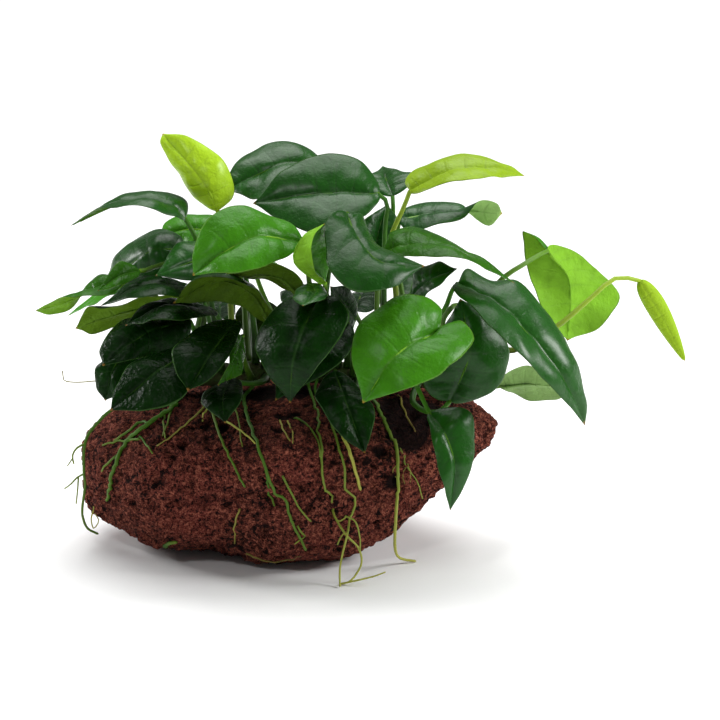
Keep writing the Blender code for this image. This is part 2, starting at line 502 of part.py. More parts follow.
class Blade:
    """The lines that a leaf's blade is spread between: its midrib and its two margins."""

    def __init__(self, part):
        self.midrib = Path([place(*spot) for spot in part["midrib"]])
        self.margins = [self.margin(part, side) for side in ("left", "right")]

    def margin(self, part, side):
        """The margin on one side. It leaves the stalk outwards, or backwards too where it's lobed."""
        base, tip = self.midrib.at(0), self.midrib.at(1)
        points = [base, *[place(*spot) for spot in part[side]], tip]
        outward = square_to(points[1] - base, self.midrib.slope(0))
        start = outward - self.midrib.slope(0) * part["lobe"]
        end = (tip - points[-2]).normalized() + self.midrib.slope(1) * part["drawn_out"]
        return Path(points, start, end)

    def row(self, u):
        """The row across the blade at station u: its middle, the midrib's direction, its reaches."""
        station = u ** BLADE_GATHER
        middle = self.midrib.at(station)
        return middle, self.midrib.slope(station), [line.at(u) - middle for line in self.margins]

    def faces(self, u):
        """The directions that the blade's left half, its midrib and its right half face."""
        _, tangent, (left, right) = self.row(min(max(u, BLADE_FACES_FROM), BLADE_FACES_TO))
        left_face = tangent.cross(left).normalized()
        right_face = right.cross(tangent).normalized()
        return left_face, (left_face + right_face).normalized(), right_face

    def across(self):
        """From the left margin to the right one, halfway along the blade."""
        left, right = [line.at(0.5) for line in self.margins]
        return right - left

    def point(self, u, t, side):
        """A point on the upper (side 1) or lower (side -1) face, t from -1 left to 1 right."""
        middle, tangent, (left, right) = self.row(u)
        left_face, middle_face, right_face = self.faces(u)
        reach = left if t < 0 else right
        facing = middle_face if t == 0 else left_face if t < 0 else right_face
        share = abs(t)
        ahead = tangent * reach.dot(tangent)
        arch = BLADE_CAMBER * reach.length * 4 * share * (1 - share)
        thick = side * BLADE_THICKNESS / 2 * (1 - share * share) * (1 - BLADE_TAPER * u)
        if side < 0 and t == 0:
            thick -= RIB_DEPTH * (1 - u)
        flat = middle + (reach - ahead) * share + ahead * share ** BLADE_SWEEP
        return flat + facing * (arch + thick)


def blade_ring(blade, u):
    """The blade's section at station u: the left edge, the upper side, the right edge, below."""
    half = BLADE_HALFWAY
    over = [(-1, 0), (-half, 1), (0, 1), (half, 1), (1, 0), (half, -1), (0, -1), (-half, -1)]
    return [blade.point(u, t, side) for t, side in over]


def rolled_ring(blade, u):
    """The section at station u of a young leaf whose blade is still rolled up."""
    direction = blade.midrib.slope(u)
    out = math.sin(math.pi * u ** ROLLED_WIDEST) ** ROLLED_FULLNESS
    radius = ROLLED_CORE + blade.across().length / 2 * out
    side = square_to(blade.across(), direction)
    return round_ring(blade.midrib.at(u), side, direction, radius, STALK_SIDES)


def stalk_rings(part, blade, rhizomes):
    """The rings of the stalk, from the rhizome to where the blade begins."""
    foot, away = crown_point(rhizomes, part["crown"], GAP)
    passing = [place(*spot) for spot in part["stalk"]]
    line = [foot, *passing, blade.midrib.at(0)]
    slant = blade.midrib.slope(0) + blade.faces(0)[1]
    arrive = (line[-1] - line[-2]).normalized() + slant * STALK_BEND
    leave = away + (line[1] - foot).normalized() * STALK_AIM
    path = Path(line, leave, arrive)
    across = blade.across()
    count = STALK_RINGS + len(passing)
    rings = []
    for i in range(count, -1, -1):
        along = i / count
        direction = path.slope(along)
        across = square_to(across, direction)
        radius = STALK_FOOT_RADIUS + (STALK_TOP_RADIUS - STALK_FOOT_RADIUS) * along
        rings.insert(0, round_ring(path.at(along), across, direction, radius, STALK_SIDES))
    return rings


def make_leaf(name, part, rhizomes):
    """One leaf: its stalk and its blade are one piece."""
    blade = Blade(part)
    section = rolled_ring if part["rolled"] else blade_ring
    rings = stalk_rings(part, blade, rhizomes) + [section(blade, u) for u in BLADE_STATIONS]
    add_object(name, *skin(rings, blade.midrib.at(1)), part["finish"])


# ---- The roots -------------------------------------------------------------------------------


def on_stone(stone, across, up):
    """The point of the stone that the front view shows at (across, up)."""
    seen = place(across, up, SHOWN_FROM)
    line_of_sight = place(across, up, SHOWN_TO) - seen
    return stone.ray_cast(seen, line_of_sight.normalized())[0]


def clear_of_stone(stone, point, clear):
    """The point, pushed off the stone where it is nearer than clear or inside."""
    nearest, normal, _, distance = stone.find_nearest(point)
    inside = (point - nearest).dot(normal) < 0
    if inside or distance < clear:
        return nearest + normal * clear
    return point


def make_root(name, part, rhizomes, stone):
    """One root, from its rhizome over the stone."""
    foot, away = crown_point(rhizomes, part["crown"], GAP)
    radius = part["radius"]
    clear = radius + GAP + ROOT_SAG
    points = [foot]
    for spot in part["places"]:
        point = place(*spot) if len(spot) == 3 else on_stone(stone, *spot)
        points.append(clear_of_stone(stone, point, clear))
    path = Path(points, away)
    count = round(path.length / ROOT_RING_SPACING)
    rings = []
    side = Vector((1, 0, 0))
    for i in range(count + 1):
        along = i / count
        middle = path.at(along)
        if i > 0:
            middle = clear_of_stone(stone, middle, clear)
        direction = path.slope(along)
        side = square_to(side, direction)
        thickness = radius * (1 - ROOT_TAPER * along)
        rings.append(round_ring(middle, side, direction, thickness, ROOT_SIDES))
    add_object(name, *skin(rings), "root")


def main():
    """Makes every piece, the stone first because the roots lie on it."""
    for old in list(bpy.data.objects):
        bpy.data.objects.remove(old)
    stone = make_stone()
    rhizomes = {name: Path(points) for name, points in RHIZOMES.items()}
    for name, path in rhizomes.items():
        make_rhizome(name, path)
    for name, part in LEAVES.items():
        make_leaf(name, part, rhizomes)
    for name, part in ROOTS.items():
        make_root(name, part, rhizomes, stone)


main()
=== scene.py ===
"""The looks of an anubias that has grown onto a lump of lava stone.

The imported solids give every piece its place. Each section below makes one kind of piece in the
fine form and finish of the real one: the stone, the creeping rhizomes, the leaves, the roots.
"""
import math

import bmesh
import bpy
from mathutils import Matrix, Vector, noise
from mathutils.bvhtree import BVHTree


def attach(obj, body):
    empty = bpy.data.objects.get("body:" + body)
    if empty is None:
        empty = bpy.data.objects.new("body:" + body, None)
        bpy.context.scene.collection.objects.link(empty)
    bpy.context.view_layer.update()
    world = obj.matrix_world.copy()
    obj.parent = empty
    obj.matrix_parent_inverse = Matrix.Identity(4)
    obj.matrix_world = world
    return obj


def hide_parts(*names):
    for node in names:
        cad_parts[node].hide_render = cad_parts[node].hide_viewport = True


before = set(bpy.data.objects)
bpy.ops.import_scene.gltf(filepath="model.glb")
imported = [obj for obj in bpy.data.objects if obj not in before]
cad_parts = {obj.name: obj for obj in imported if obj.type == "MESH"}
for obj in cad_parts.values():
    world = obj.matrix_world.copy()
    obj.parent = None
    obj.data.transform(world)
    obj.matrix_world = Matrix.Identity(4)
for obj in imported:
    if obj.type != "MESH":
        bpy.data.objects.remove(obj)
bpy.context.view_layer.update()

# ---- The front view --------------------------------------------------------------------------
# The plant is seen by an eye one metre away and 15 degrees above level. A plant has no square
# corner to measure from, so leaves and roots are placed as this view shows them: (across, up,
# back) in millimetres, from the middle of the stone's foot.

MM = 0.001
EYE_DISTANCE = 1000
EYE_TILT = math.radians(15)
EYE_AIM_ACROSS = 28
EYE_AIM_UP = 70.4
VIEW_WIDTH = 288               # what the picture holds at that distance
SENSOR_WIDTH = 36


def place(across, up, back):
    """The point in millimetres that the front view shows at (across, up), at a depth of back."""
    sine, cosine = math.sin(EYE_TILT), math.cos(EYE_TILT)
    nearer = (sine * up - back) / (cosine + sine * (up - EYE_AIM_UP) / EYE_DISTANCE)
    shrink = 1 - nearer / EYE_DISTANCE
    x = EYE_AIM_ACROSS + (across - EYE_AIM_ACROSS) * shrink
    height = EYE_AIM_UP + (up - EYE_AIM_UP) * shrink
    return Vector((x, sine * height - cosine * nearer, cosine * height + sine * nearer))


def add(name, data):
    """A new object in the scene."""
    made = bpy.data.objects.new(name, data)
    bpy.context.collection.objects.link(made)
    return made


eye = add("eye", bpy.data.cameras.new("eye"))
upward = Vector((0, math.sin(EYE_TILT), math.cos(EYE_TILT)))
towards_eye = Vector((0, -math.cos(EYE_TILT), math.sin(EYE_TILT)))
aim = Vector((EYE_AIM_ACROSS, 0, 0)) + upward * EYE_AIM_UP
eye.location = (aim + towards_eye * EYE_DISTANCE) * MM
eye.rotation_euler = (math.pi / 2 - EYE_TILT, 0, 0)
eye.data.sensor_width = SENSOR_WIDTH
eye.data.lens = SENSOR_WIDTH * EYE_DISTANCE / VIEW_WIDTH
bpy.context.scene.camera = eye

# ---- The lava stone --------------------------------------------------------------------------
# A lump of red-brown scoria, frothed up by gas while it was liquid, so it is pitted all over with
# holes from a pore to a fingertip wide. It is one piece, and stands on its worn flat underside.

NOISE_SEED = 7                 # without one the noise would start from the clock
STONE_WELD = 1e-5              # corners of the solid nearer than this are one, in metres
STONE_FLAT = 1e-4              # what is lower than this stays on the floor, in metres
STONE_SUBDIVISION = 3          # how often the solid's faces are divided by four
STONE_SWELL = 0.5              # what smoothing took off
STONE_CRUMBS = [(11, 2.0), (3.2, 1.5)]     # width and height of the crumbly ridges
STONE_CRUMB_DETAIL = 3
# Width of the cells that hold a hole each, share of a cell that the widest hole takes, depth.
STONE_HOLES = [(13, 0.28, 2.6), (6.5, 0.4, 1.9), (3.4, 0.42, 1.1)]
HOLE_TWIST = 1.6               # how far a hole's rim is from round, in sixths of its cell
HOLE_TWISTS = 2.2              # how often the rim turns within a cell
HOLE_NARROWEST = 0.25          # of the widest one
HOLE_MIX = 5.7                 # spreads wide and narrow holes evenly
HOLE_NOISE_TOP = 1.8           # brings the strongest noise to about 1
HOLE_WALL = 0.6                # the lower, the steeper its wall
HOLE_SHADE = 0.62              # how dark the painted shade at its bottom is
HOLE_SHADE_WALL = 0.7          # the lower, the darker the painted shade on its wall
STONE_SHADE_SPOTS = [
    # middles and widths of spots of painted shade: in the deep hollow at the right, and on the top under
    # the leaves
    (43, -20, 57, 9), (50, -17, 56, 9), (46, -29, 52, 8), (40, -41, 36, 3.5),
    (-10, -10, 61, 9), (1, -6, 62, 10)]
SHADE_SPOT_EDGE = 4                  # the higher, the sharper a spot of painted shade ends
STONE_TOP_SHADE = 0.36              # how much darker the top is, as painted shade under the leaves
STONE_TOP_SHADE_FROM = 34           # it sets in from this height to that
STONE_TOP_SHADE_TO = 60
STONE_TOP_SHADE_UNEVEN = 0.6        # sooner or later, in patches of this width
STONE_TOP_SHADE_PATCH = 14
# Brown and red are the rock's own colours. The pale colour is painted highlight on the crumbs, and the
# two darkest are painted shade in the low places and in the holes.
LAVA_BROWN = (0.125, 0.033, 0.022)
LAVA_RED = (0.19, 0.042, 0.030)
LAVA_CRUMB_HIGHLIGHT = (0.42, 0.13, 0.082)
LAVA_LOW_SHADE = (0.024, 0.007, 0.006)
LAVA_HOLE_SHADE = (0.006, 0.003, 0.003)


class Signal:
    """A socket of a material's nodes, with the arithmetic that is done on patterns."""

    def __init__(self, paint, socket):
        self.paint = paint
        self.socket = socket

    def maths(self, operation, *values):
        """The outcome of a Math node."""
        inputs = dict(enumerate(values))
        return self.paint.node("ShaderNodeMath", {"operation": operation}, inputs)

    def __add__(self, other):
        return self.maths("ADD", self, other)

    def __sub__(self, other):
        return self.maths("SUBTRACT", self, other)

    def __rsub__(self, other):
        return self.maths("SUBTRACT", other, self)

    def __mul__(self, other):
        return self.maths("MULTIPLY", self, other)

    __radd__, __rmul__ = __add__, __mul__

    def __abs__(self):
        return self.maths("ABSOLUTE", self)


MIX_FIRST, MIX_SECOND, MIX_RESULT = 6, 7, 2     # a Mix node's sockets for colours


class Paint:
    """One material: its shader, and the nodes that pattern it."""

    def __init__(self, name, fixed):
        self.material = bpy.data.materials.new(name)
        self.material.use_nodes = True
        self.tree = self.material.node_tree
        self.shader = self.tree.nodes["Principled BSDF"]
        self.where = None
        for socket, value in fixed.items():
            self.shader.inputs[socket].default_value = value

    def node(self, kind, settings=None, inputs=None, output=0):
        """Adds a node. Its settings are set first, then the values or links of its sockets."""
        made = self.tree.nodes.new(kind)
        for name, value in (settings or {}).items():
            if name == "stops":
                for stop, (position, grey) in zip(made.color_ramp.elements, value):
                    stop.position = position
                    stop.color = (grey, grey, grey, 1)
            else:
                setattr(made, name, value)
        for name, value in (inputs or {}).items():
            self.feed(made.inputs[name], value)
        return Signal(self, made.outputs[output])

    def feed(self, socket, value):
        """Links a signal to a socket, or sets a number or a colour on it."""
        if isinstance(value, Signal):
            self.tree.links.new(value.socket, socket)
        elif isinstance(value, tuple) and len(value) == 3 and socket.type == "RGBA":
            socket.default_value = (*value, 1)
        else:
            socket.default_value = value

    def grain(self, size, detail):
        """Noise from 0 to 1 over the object, with lumps of about size millimetres."""
        if not self.where:
            spot = self.node("ShaderNodeTexCoord", output="Object")
            scale = {0: spot, "Scale": 1 / MM}
            self.where = self.node("ShaderNodeVectorMath", {"operation": "SCALE"}, scale)
        inputs = {"Vector": self.where, "Scale": 1 / size, "Detail": detail}
        return self.node("ShaderNodeTexNoise", None, inputs)

    def step(self, value, off, on):
        """0 where value is off or further away, and 1 where it is on or further away."""
        stops = [(min(off, on), float(off > on)), (max(off, on), float(off < on))]
        return self.node("ShaderNodeValToRGB", {"stops": stops}, {0: value})

    def mix(self, share, first, second):
        """The first colour where share is 0, the second where it is 1."""
        inputs = {0: share, MIX_FIRST: first, MIX_SECOND: second}
        return self.node("ShaderNodeMix", {"data_type": "RGBA"}, inputs, MIX_RESULT)

    def over(self, body, colour, mask, strength):
        """A colour laid over the body where the mask is 1."""
        return self.mix(mask * strength, body, colour)

    def attribute(self, name):
        """A value that the mesh carries at each of its points."""
        return self.node("ShaderNodeAttribute", {"attribute_name": name}, None, "Fac")

    def bump(self, height, distance):
        """Turns a height from 0 to 1 into slopes, for a full height of distance millimetres."""
        return self.node("ShaderNodeBump", None, {"Height": height, "Distance": distance * MM})

    def finish(self, **sockets):
        """Feeds the patterns to the shader's sockets."""
        for name, value in sockets.items():
            self.feed(self.shader.inputs[name.replace("_", " ")], value)
        return self.material


def join(name, vertices, faces, materials, material_of=None):
    """A smooth-shaded piece from points in millimetres."""
    mesh = bpy.data.meshes.new(name)
    mesh.from_pydata([tuple(point * MM) for point in vertices], [], faces)
    for material in materials:
        mesh.materials.append(material)
    if material_of:
        mesh.polygons.foreach_set("material_index", material_of)
    mesh.shade_smooth()
    return add(name, mesh)


def carry(piece, name, values):
    """Gives every point of a piece a value that its material reads."""
    piece.data.attributes.new(name, "FLOAT", "POINT").data.foreach_set("value", values)


def holes_at(spot):
    """How deep the gas holes are at a spot, in millimetres, and how dark the painted shade in them is,
    from 0 to 1.
    """
    deepest, share = 0, 0
    for cell, widest, depth in STONE_HOLES:
        twisted = spot + noise.noise_vector(spot / cell * HOLE_TWISTS) * HOLE_TWIST * cell / 6
        distances, middles = noise.voronoi(twisted / cell)
        chance = abs(noise.noise(middles[0] * HOLE_MIX)) * HOLE_NOISE_TOP
        size = widest * (HOLE_NARROWEST + (1 - HOLE_NARROWEST) * chance)
        inside = max(0, 1 - (distances[0] / size) ** 2)
        deepest = max(deepest, depth * inside ** HOLE_WALL)
        share = max(share, HOLE_SHADE * inside ** HOLE_SHADE_WALL)
    return deepest, share


def stone_mesh():
    """The solid stone, divided finely and eaten by its holes. Also how dark the painted shade is at each
    point: in the holes, in the shade spots and on the top.
    """
    shape = bmesh.new()
    shape.from_mesh(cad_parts["lava_stone"].data)
    bmesh.ops.remove_doubles(shape, verts=shape.verts, dist=STONE_WELD)
    coarse = bpy.data.meshes.new("coarse stone")
    shape.to_mesh(coarse)
    shape.free()
    lump = add("coarse stone", coarse)
    divide = lump.modifiers.new("divide", "SUBSURF")
    divide.levels = divide.render_levels = STONE_SUBDIVISION
    fine = bpy.data.meshes.new_from_object(lump.evaluated_get(bpy.context.evaluated_depsgraph_get()))
    bpy.data.objects.remove(lump)
    vertices, painted_shade = [], []
    for vertex in fine.vertices:
        spot = vertex.co / MM
        depth, share = holes_at(spot)
        crumbs = sum(height * (noise.turbulence(spot / width, STONE_CRUMB_DETAIL, True) - 0.5)
                     for width, height in STONE_CRUMBS)
        spot = spot + vertex.normal * (STONE_SWELL + crumbs - depth)
        spot.z = 0 if vertex.co.z < STONE_FLAT else max(spot.z, 0)
        # Painted shade in the deep hollow at the right and on the top under the leaves.
        for *middle, reach in STONE_SHADE_SPOTS:
            share += math.exp(-((spot - Vector(middle)).length / reach) ** SHADE_SPOT_EDGE)
        # Painted shade on the top of the stone, which lies under the leaves.
        height = (spot.z - STONE_TOP_SHADE_FROM) / (STONE_TOP_SHADE_TO - STONE_TOP_SHADE_FROM)
        height += STONE_TOP_SHADE_UNEVEN * noise.noise(spot / STONE_TOP_SHADE_PATCH)
        share += STONE_TOP_SHADE * max(0, min(1, height))
        vertices.append(spot)
        painted_shade.append(min(1, share))
    return vertices, [tuple(face.vertices) for face in fine.polygons], painted_shade


def lava_finish():
    """Dull red-brown, with painted highlight on its crumbs and painted shade in its low places, its pits
    and its holes.
    """
    paint = Paint("lava", {"Roughness": 0.95, "Specular IOR Level": 0.1})
    patches = paint.step(paint.grain(size=26, detail=3), off=0.35, on=0.7)
    clusters = paint.grain(size=14, detail=2)
    pits = paint.grain(size=2.0, detail=4)
    crumbs = paint.grain(size=1.2, detail=4)
    grit = paint.grain(size=0.5, detail=3)
    relief = grit * 0.35 + crumbs * 0.4 + pits * 0.25
    pitted = paint.step(pits * 0.7 + clusters * 0.3, off=0.44, on=0.40)
    # The painted shade that the mesh carries: in the holes, in the hollow and on the top.
    painted_shade = paint.step(paint.attribute("painted_shade"), off=0.15, on=0.75)
    body = paint.mix(patches, LAVA_BROWN, LAVA_RED)
    # Painted highlight on the high crumbs, and painted shade in the low places.
    body = paint.mix(paint.step(relief, off=0.52, on=0.59), body, LAVA_CRUMB_HIGHLIGHT)
    body = paint.mix(paint.step(relief, off=0.49, on=0.43), body, LAVA_LOW_SHADE)
    # Painted shade in the small pits, then in the holes, in the hollow and on the top.
    body = paint.over(body, LAVA_HOLE_SHADE, pitted, strength=0.9)
    body = paint.over(body, LAVA_HOLE_SHADE, painted_shade, strength=0.96)
    height = paint.step(relief, off=0.36, on=0.64)
    return paint.finish(Base_Color=body, Normal=paint.bump(height, distance=1.3))


noise.seed_set(NOISE_SEED)
stone_points, stone_faces, painted_shade = stone_mesh()
stone = join("stone", stone_points, stone_faces, [lava_finish()])
carry(stone, "painted_shade", painted_shade)
stone_surface = BVHTree.FromPolygons(stone_points, stone_faces)
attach(stone, "root")
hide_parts("lava_stone")

# ---- The rhizomes ----------------------------------------------------------------------------
# Three creeping stems as thick as a finger's tip lie along the stone's top. They are green and
# corky, and ringed where old leaves have dropped. Leaves and roots grow out of their sides.

RHIZOME_RADIUS = 4.6
RHIZOME_SIDES = 20
RHIZOME_RINGS = 64
RHIZOME_SCARS = 9              # rings left by old leaves along each stem
RHIZOME_SCAR_DEPTH = 0.07      # of the radius
RHIZOME_SCAR_EDGE = 0.35       # the lower, the narrower the rings
RHIZOME_KNOBS = 0.07           # how far knobs stand out, of the radius
RHIZOME_KNOBS_PER_MM = 0.45
RHIZOME_BLUNTNESS = 10         # the higher, the later the ends round off
RHIZOME_END = 0.55             # how thick the very ends are, of the radius
RHIZOME_BARE_END = 0.06        # no leaf grows this near to an end
RHIZOMES = {
    "left": [(-43, 1, 66.5), (-32, -2, 67.5), (-20, -3, 68), (-7, -1, 68)],
    "middle": [(-2, -3, 68), (8, -1, 68.5), (18, -4, 68.5), (29, -3, 68.5)],
    "right": [(34, -1, 68.5), (43, -4, 68), (52, -3, 67), (63, -1, 66)]}
# Both are darkened as painted shade, because the rhizomes lie in the shade under the leaves.
BARK_GREEN = (0.022, 0.042, 0.006)
BARK_BROWN = (0.035, 0.024, 0.009)


class Path:
    """A smooth line through a few points, along which 0 is the start and 1 the end."""

    def __init__(self, points, start=None, end=None):
        self.points = [Vector(point) for point in points]
        gaps = [(b - a).length for a, b in zip(self.points, self.points[1:])]
        self.length = sum(gaps)
        self.knots = [sum(gaps[:i]) / self.length for i in range(len(self.points))]
        self.slopes = []
        for i in range(len(self.points)):
            before, after = max(i - 1, 0), min(i + 1, len(self.points) - 1)
            rise = self.points[after] - self.points[before]
            self.slopes.append(rise / (self.knots[after] - self.knots[before]))
        if start:
            self.slopes[0] = start.normalized() * self.length
        if end:
            self.slopes[-1] = end.normalized() * self.length

    def at(self, along):
        """The point at a share of the length."""
        i = max(k for k in range(len(self.points) - 1) if self.knots[k] <= along)
        span = self.knots[i + 1] - self.knots[i]
        t = (along - self.knots[i]) / span
        return (self.points[i] * (1 + 2 * t) * (1 - t) ** 2 + self.slopes[i] * span * t * (1 - t) ** 2
                + self.points[i + 1] * t * t * (3 - 2 * t) - self.slopes[i + 1] * span * t * t * (1 - t))

    def slope(self, along):
        """The direction of the line there, with a length of 1."""
        step = 0.01
        near, far = max(along - step, 0), min(along + step, 1)
        return (self.at(far) - self.at(near)).normalized()


def square_to(side, direction):
    """The part of side that is square to direction, with a length of 1."""
    return (side - direction * side.dot(direction)).normalized()


def round_ring(middle, side, direction, radius, sides):
    """A ring of points around a line."""
    upper = side.cross(direction).normalized()
    turns = [math.pi - 2 * math.pi * i / sides for i in range(sides)]
    return [middle + (side * math.cos(turn) + upper * math.sin(turn)) * radius for turn in turns]


def skin(rings, start=None, tip=None):
    """Vertices and faces of a tube through rings of points, closed flat or at a point."""
    sides = len(rings[0])
    vertices = [point for ring in rings for point in ring]
    faces = []
    for k in range(len(rings) - 1):
        for i in range(sides):
            j = (i + 1) % sides
            a, b = k * sides + i, k * sides + j
            faces.append((a, b, b + sides, a + sides))
    last = (len(rings) - 1) * sides
    if start is None:
        faces.append(tuple(range(sides))[::-1])
    else:
        vertices.append(start)
        faces += [((i + 1) % sides, i, len(vertices) - 1) for i in range(sides)]
    if tip is None:
        faces.append(tuple(range(last, last + sides)))
    else:
        vertices.append(tip)
        faces += [(last + i, last + (i + 1) % sides, len(vertices) - 1) for i in range(sides)]
    return vertices, faces


def rhizome_rings(path):
    """The knotted rings of one creeping stem."""
    rings = []
    for i in range(RHIZOME_RINGS + 1):
        along = i / RHIZOME_RINGS
        scar = abs(math.sin(math.pi * RHIZOME_SCARS * along)) ** RHIZOME_SCAR_EDGE
        scarred = 1 - RHIZOME_SCAR_DEPTH + RHIZOME_SCAR_DEPTH * scar
        blunt = (1 - abs(2 * along - 1) ** RHIZOME_BLUNTNESS) ** 0.5
        blunt = blunt * (1 - RHIZOME_END) + RHIZOME_END
        middle, direction = path.at(along), path.slope(along)
        side = square_to(Vector((0, -1, 0)), direction)
        ring = round_ring(middle, side, direction, 1, RHIZOME_SIDES)
        for k, point in enumerate(ring):
            knob = 1 + RHIZOME_KNOBS * noise.noise(point * RHIZOME_KNOBS_PER_MM)
            ring[k] = middle + (point - middle) * RHIZOME_RADIUS * blunt * knob * scarred
        rings.append(ring)
    return rings


def bark_finish():
    """Dull corky green, browner in patches."""
    paint = Paint("bark", {"Roughness": 0.7, "Specular IOR Level": 0.15})
    patches = paint.step(paint.grain(size=4, detail=3), off=0.4, on=0.65)
    relief = paint.grain(size=0.9, detail=3)
    return paint.finish(Base_Color=paint.mix(patches, BARK_GREEN, BARK_BROWN),
                        Normal=paint.bump(relief, distance=0.5))


bark = bark_finish()
rhizomes = {name: Path(points) for name, points in RHIZOMES.items()}
for name, path in rhizomes.items():
    stem = join("creeping_stem_" + name, *skin(rhizome_rings(path)), [bark])
    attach(stem, "root")
    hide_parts("rhizome_" + name)

# ---- The leaves ------------------------------------------------------------------------------
# Broad leathery blades, each grown in one piece with its round stalk, which runs on under the
# blade as the midrib. Side veins sweep out to the margin, and the blade swells a little between
# them. Old leaves are dark and shiny, young ones yellow-green.

GAP = 0.35                     # from a rhizome's bark to the foot of a stalk or a root
STALK_FOOT_RADIUS = 1.3
STALK_TOP_RADIUS = 0.85
STALK_SHEATH = 0.35            # how much thicker the stalk's foot is than the rest, at most
STALK_SHEATH_END = 4           # the higher, the lower on the stalk that ends
STALK_SIDES = 10
STALK_RINGS = 16
STALK_AIM = 0.43               # how soon a stalk heads for its blade
STALK_BEND = 0.7               # how far the blade's slant bends the end of the stalk
UPPER_FINISH, LOWER_FINISH, STALK_FINISH = 0, 1, 2     # the order of a leaf's finishes
MIDRIB_RINGS = 12
MIDRIB_END = 0.93              # the station where the midrib fades out
MIDRIB_SUNK = 0.15             # how deep the tube's top lies in the blade
MIDRIB_TIP = 0.12              # how thick it is at the tip, of the stalk
MIDRIB_TAPER = 1.5
BLADE_ROWS = 54
BLADE_ROWS_CROWDING = 1.5      # how far the rows crowd towards the stalk
BLADE_COLUMNS = 20
BLADE_CROWDING = 0.6           # how much closer the columns are at the midrib and the margin
BLADE_GATHER = 1.3             # how far the stations crowd towards the stalk at the midrib
BLADE_SWEEP = 1.4              # how late a row across the blade bends towards the tip
BLADE_FACES_FROM = 0.25        # nearer to the stalk and to the tip than these, the blade
BLADE_FACES_TO = 0.8           # faces the way it does here
BLADE_THICKNESS = 0.5
BLADE_EDGE = 6                 # the higher, the nearer to the margin the blade thins
BLADE_KEEL = 3                 # the higher, the sharper one half turns into the other
BLADE_SMALL = 8                # a half narrower than this has less groove, swell, wave and dents
BLADE_CAMBER = 0.08            # how far each half arches, of its width
BLADE_GROOVE = 0.4             # the midrib's groove on the upper side
BLADE_GROOVE_WIDTH = 1.1
BLADE_VEINS = 7                # side veins in each half
BLADE_SWELL = 0.30             # how far the blade swells between them
BLADE_SWELL_WALL = 0.7         # the lower, the flatter a swelling's top
BLADE_WAVE = 0.5               # how far the margin waves up and down, and how often
BLADE_WAVES = 2.6
BLADE_WAVE_EDGE = 3            # the higher, the nearer to the margin that it waves
BLADE_RAGGED = 0.035           # how uneven the margin is, of the width of its half
BLADE_RAGGED_SIZE = 7
BLADE_CRUMPLE = 0.8            # how deep its dents are, and how wide
BLADE_CRUMPLE_SIZE = 7
ROLLED_CORE = 0.3              # the least radius of a young leaf that is still rolled up
ROLLED_WIDEST = 0.62           # the lower, the nearer to the stalk a rolled blade is thickest
ROLLED_FULLNESS = 0.7          # the lower, the blunter its ends
ROLLED_LAP = 0.14              # how far its outer margin stands out, of the radius
ROLLED_LAP_AT = 0.2            # where that is, in turns
AGE_STEP = 0.618               # spreads the leaves' ages over 0 to 1
AGE_SWELL = 0.06               # how far its age shifts a leaf's swellings,
AGE_WAVES = 3                  # its waves,
AGE_DENTS = 50                 # its dents
AGE_MARGIN = 9                 # and the unevenness of its margin
OTHER_HALF_WAVES = 0.4         # how far the left half's waves are ahead of the right's
# How far the margins start out backwards from the stalk, as lobes, and how drawn out the tip is.
SHAPES = {
    "heart": (0.9, 0.3), "broad": (0.5, 0.1), "ovate": (0.3, 0.25), "oval": (0.0, 0.0),
    "lance": (-0.6, 0.3), "rolled": (0.0, 0.0)}
# The colours of the upper side, the lower side and the stalk, how rough the upper side is, and how
# mottled the blade.
LEAF_COLOURS = {
    "dark": ((0.005, 0.040, 0.002), (0.040, 0.110, 0.006), (0.045, 0.170, 0.006), 0.28, 0.24),
    "bright": ((0.040, 0.185, 0.005), (0.20, 0.44, 0.025), (0.11, 0.26, 0.012), 0.24, 0.14),
    "olive": ((0.005, 0.038, 0.003), (0.070, 0.140, 0.008), (0.05, 0.13, 0.008), 0.24, 0.20),
    "pale": ((0.006, 0.045, 0.004), (0.20, 0.34, 0.10), (0.10, 0.24, 0.02), 0.24, 0.12),
    "young": ((0.27, 0.43, 0.012), (0.28, 0.45, 0.018), (0.34, 0.50, 0.03), 0.40, 0.06)}
DARKEST = 0.3                  # of the colour, for a tone of 0, painted shade for leaves deep in the clump
LIGHTEST = 2.0                 # and for a tone of 1, painted light for leaves that face the lamps
LEAF_TIP = (0.35, 0.16, 0.03)


def leaf(colour, tone_and_shade, shape, crown, midrib, left, right, stalk=()):
    """One leaf. Its tone says how light it is among those of its colour, from 0 to 1, and it paints
    light and shade: it is low for leaves in the shade of others and high for leaves that face the light.

    crown is its rhizome, how far along it the stalk starts, and the angle there, from straight
    up, in degrees, where a minus leans to the front. The midrib runs from the stalk to the tip.
    left and right are the places that the blade's margins pass, seen from above with the tip
    pointing away, and stalk holds those that the stalk passes.
    """
    lobe, drawn_out = SHAPES[shape]
    return {"colour": colour, "tone_and_shade": tone_and_shade, "rolled": shape == "rolled", "lobe": lobe,
            "drawn_out": drawn_out, "crown": crown, "midrib": midrib, "left": left, "right": right,
            "stalk": stalk}


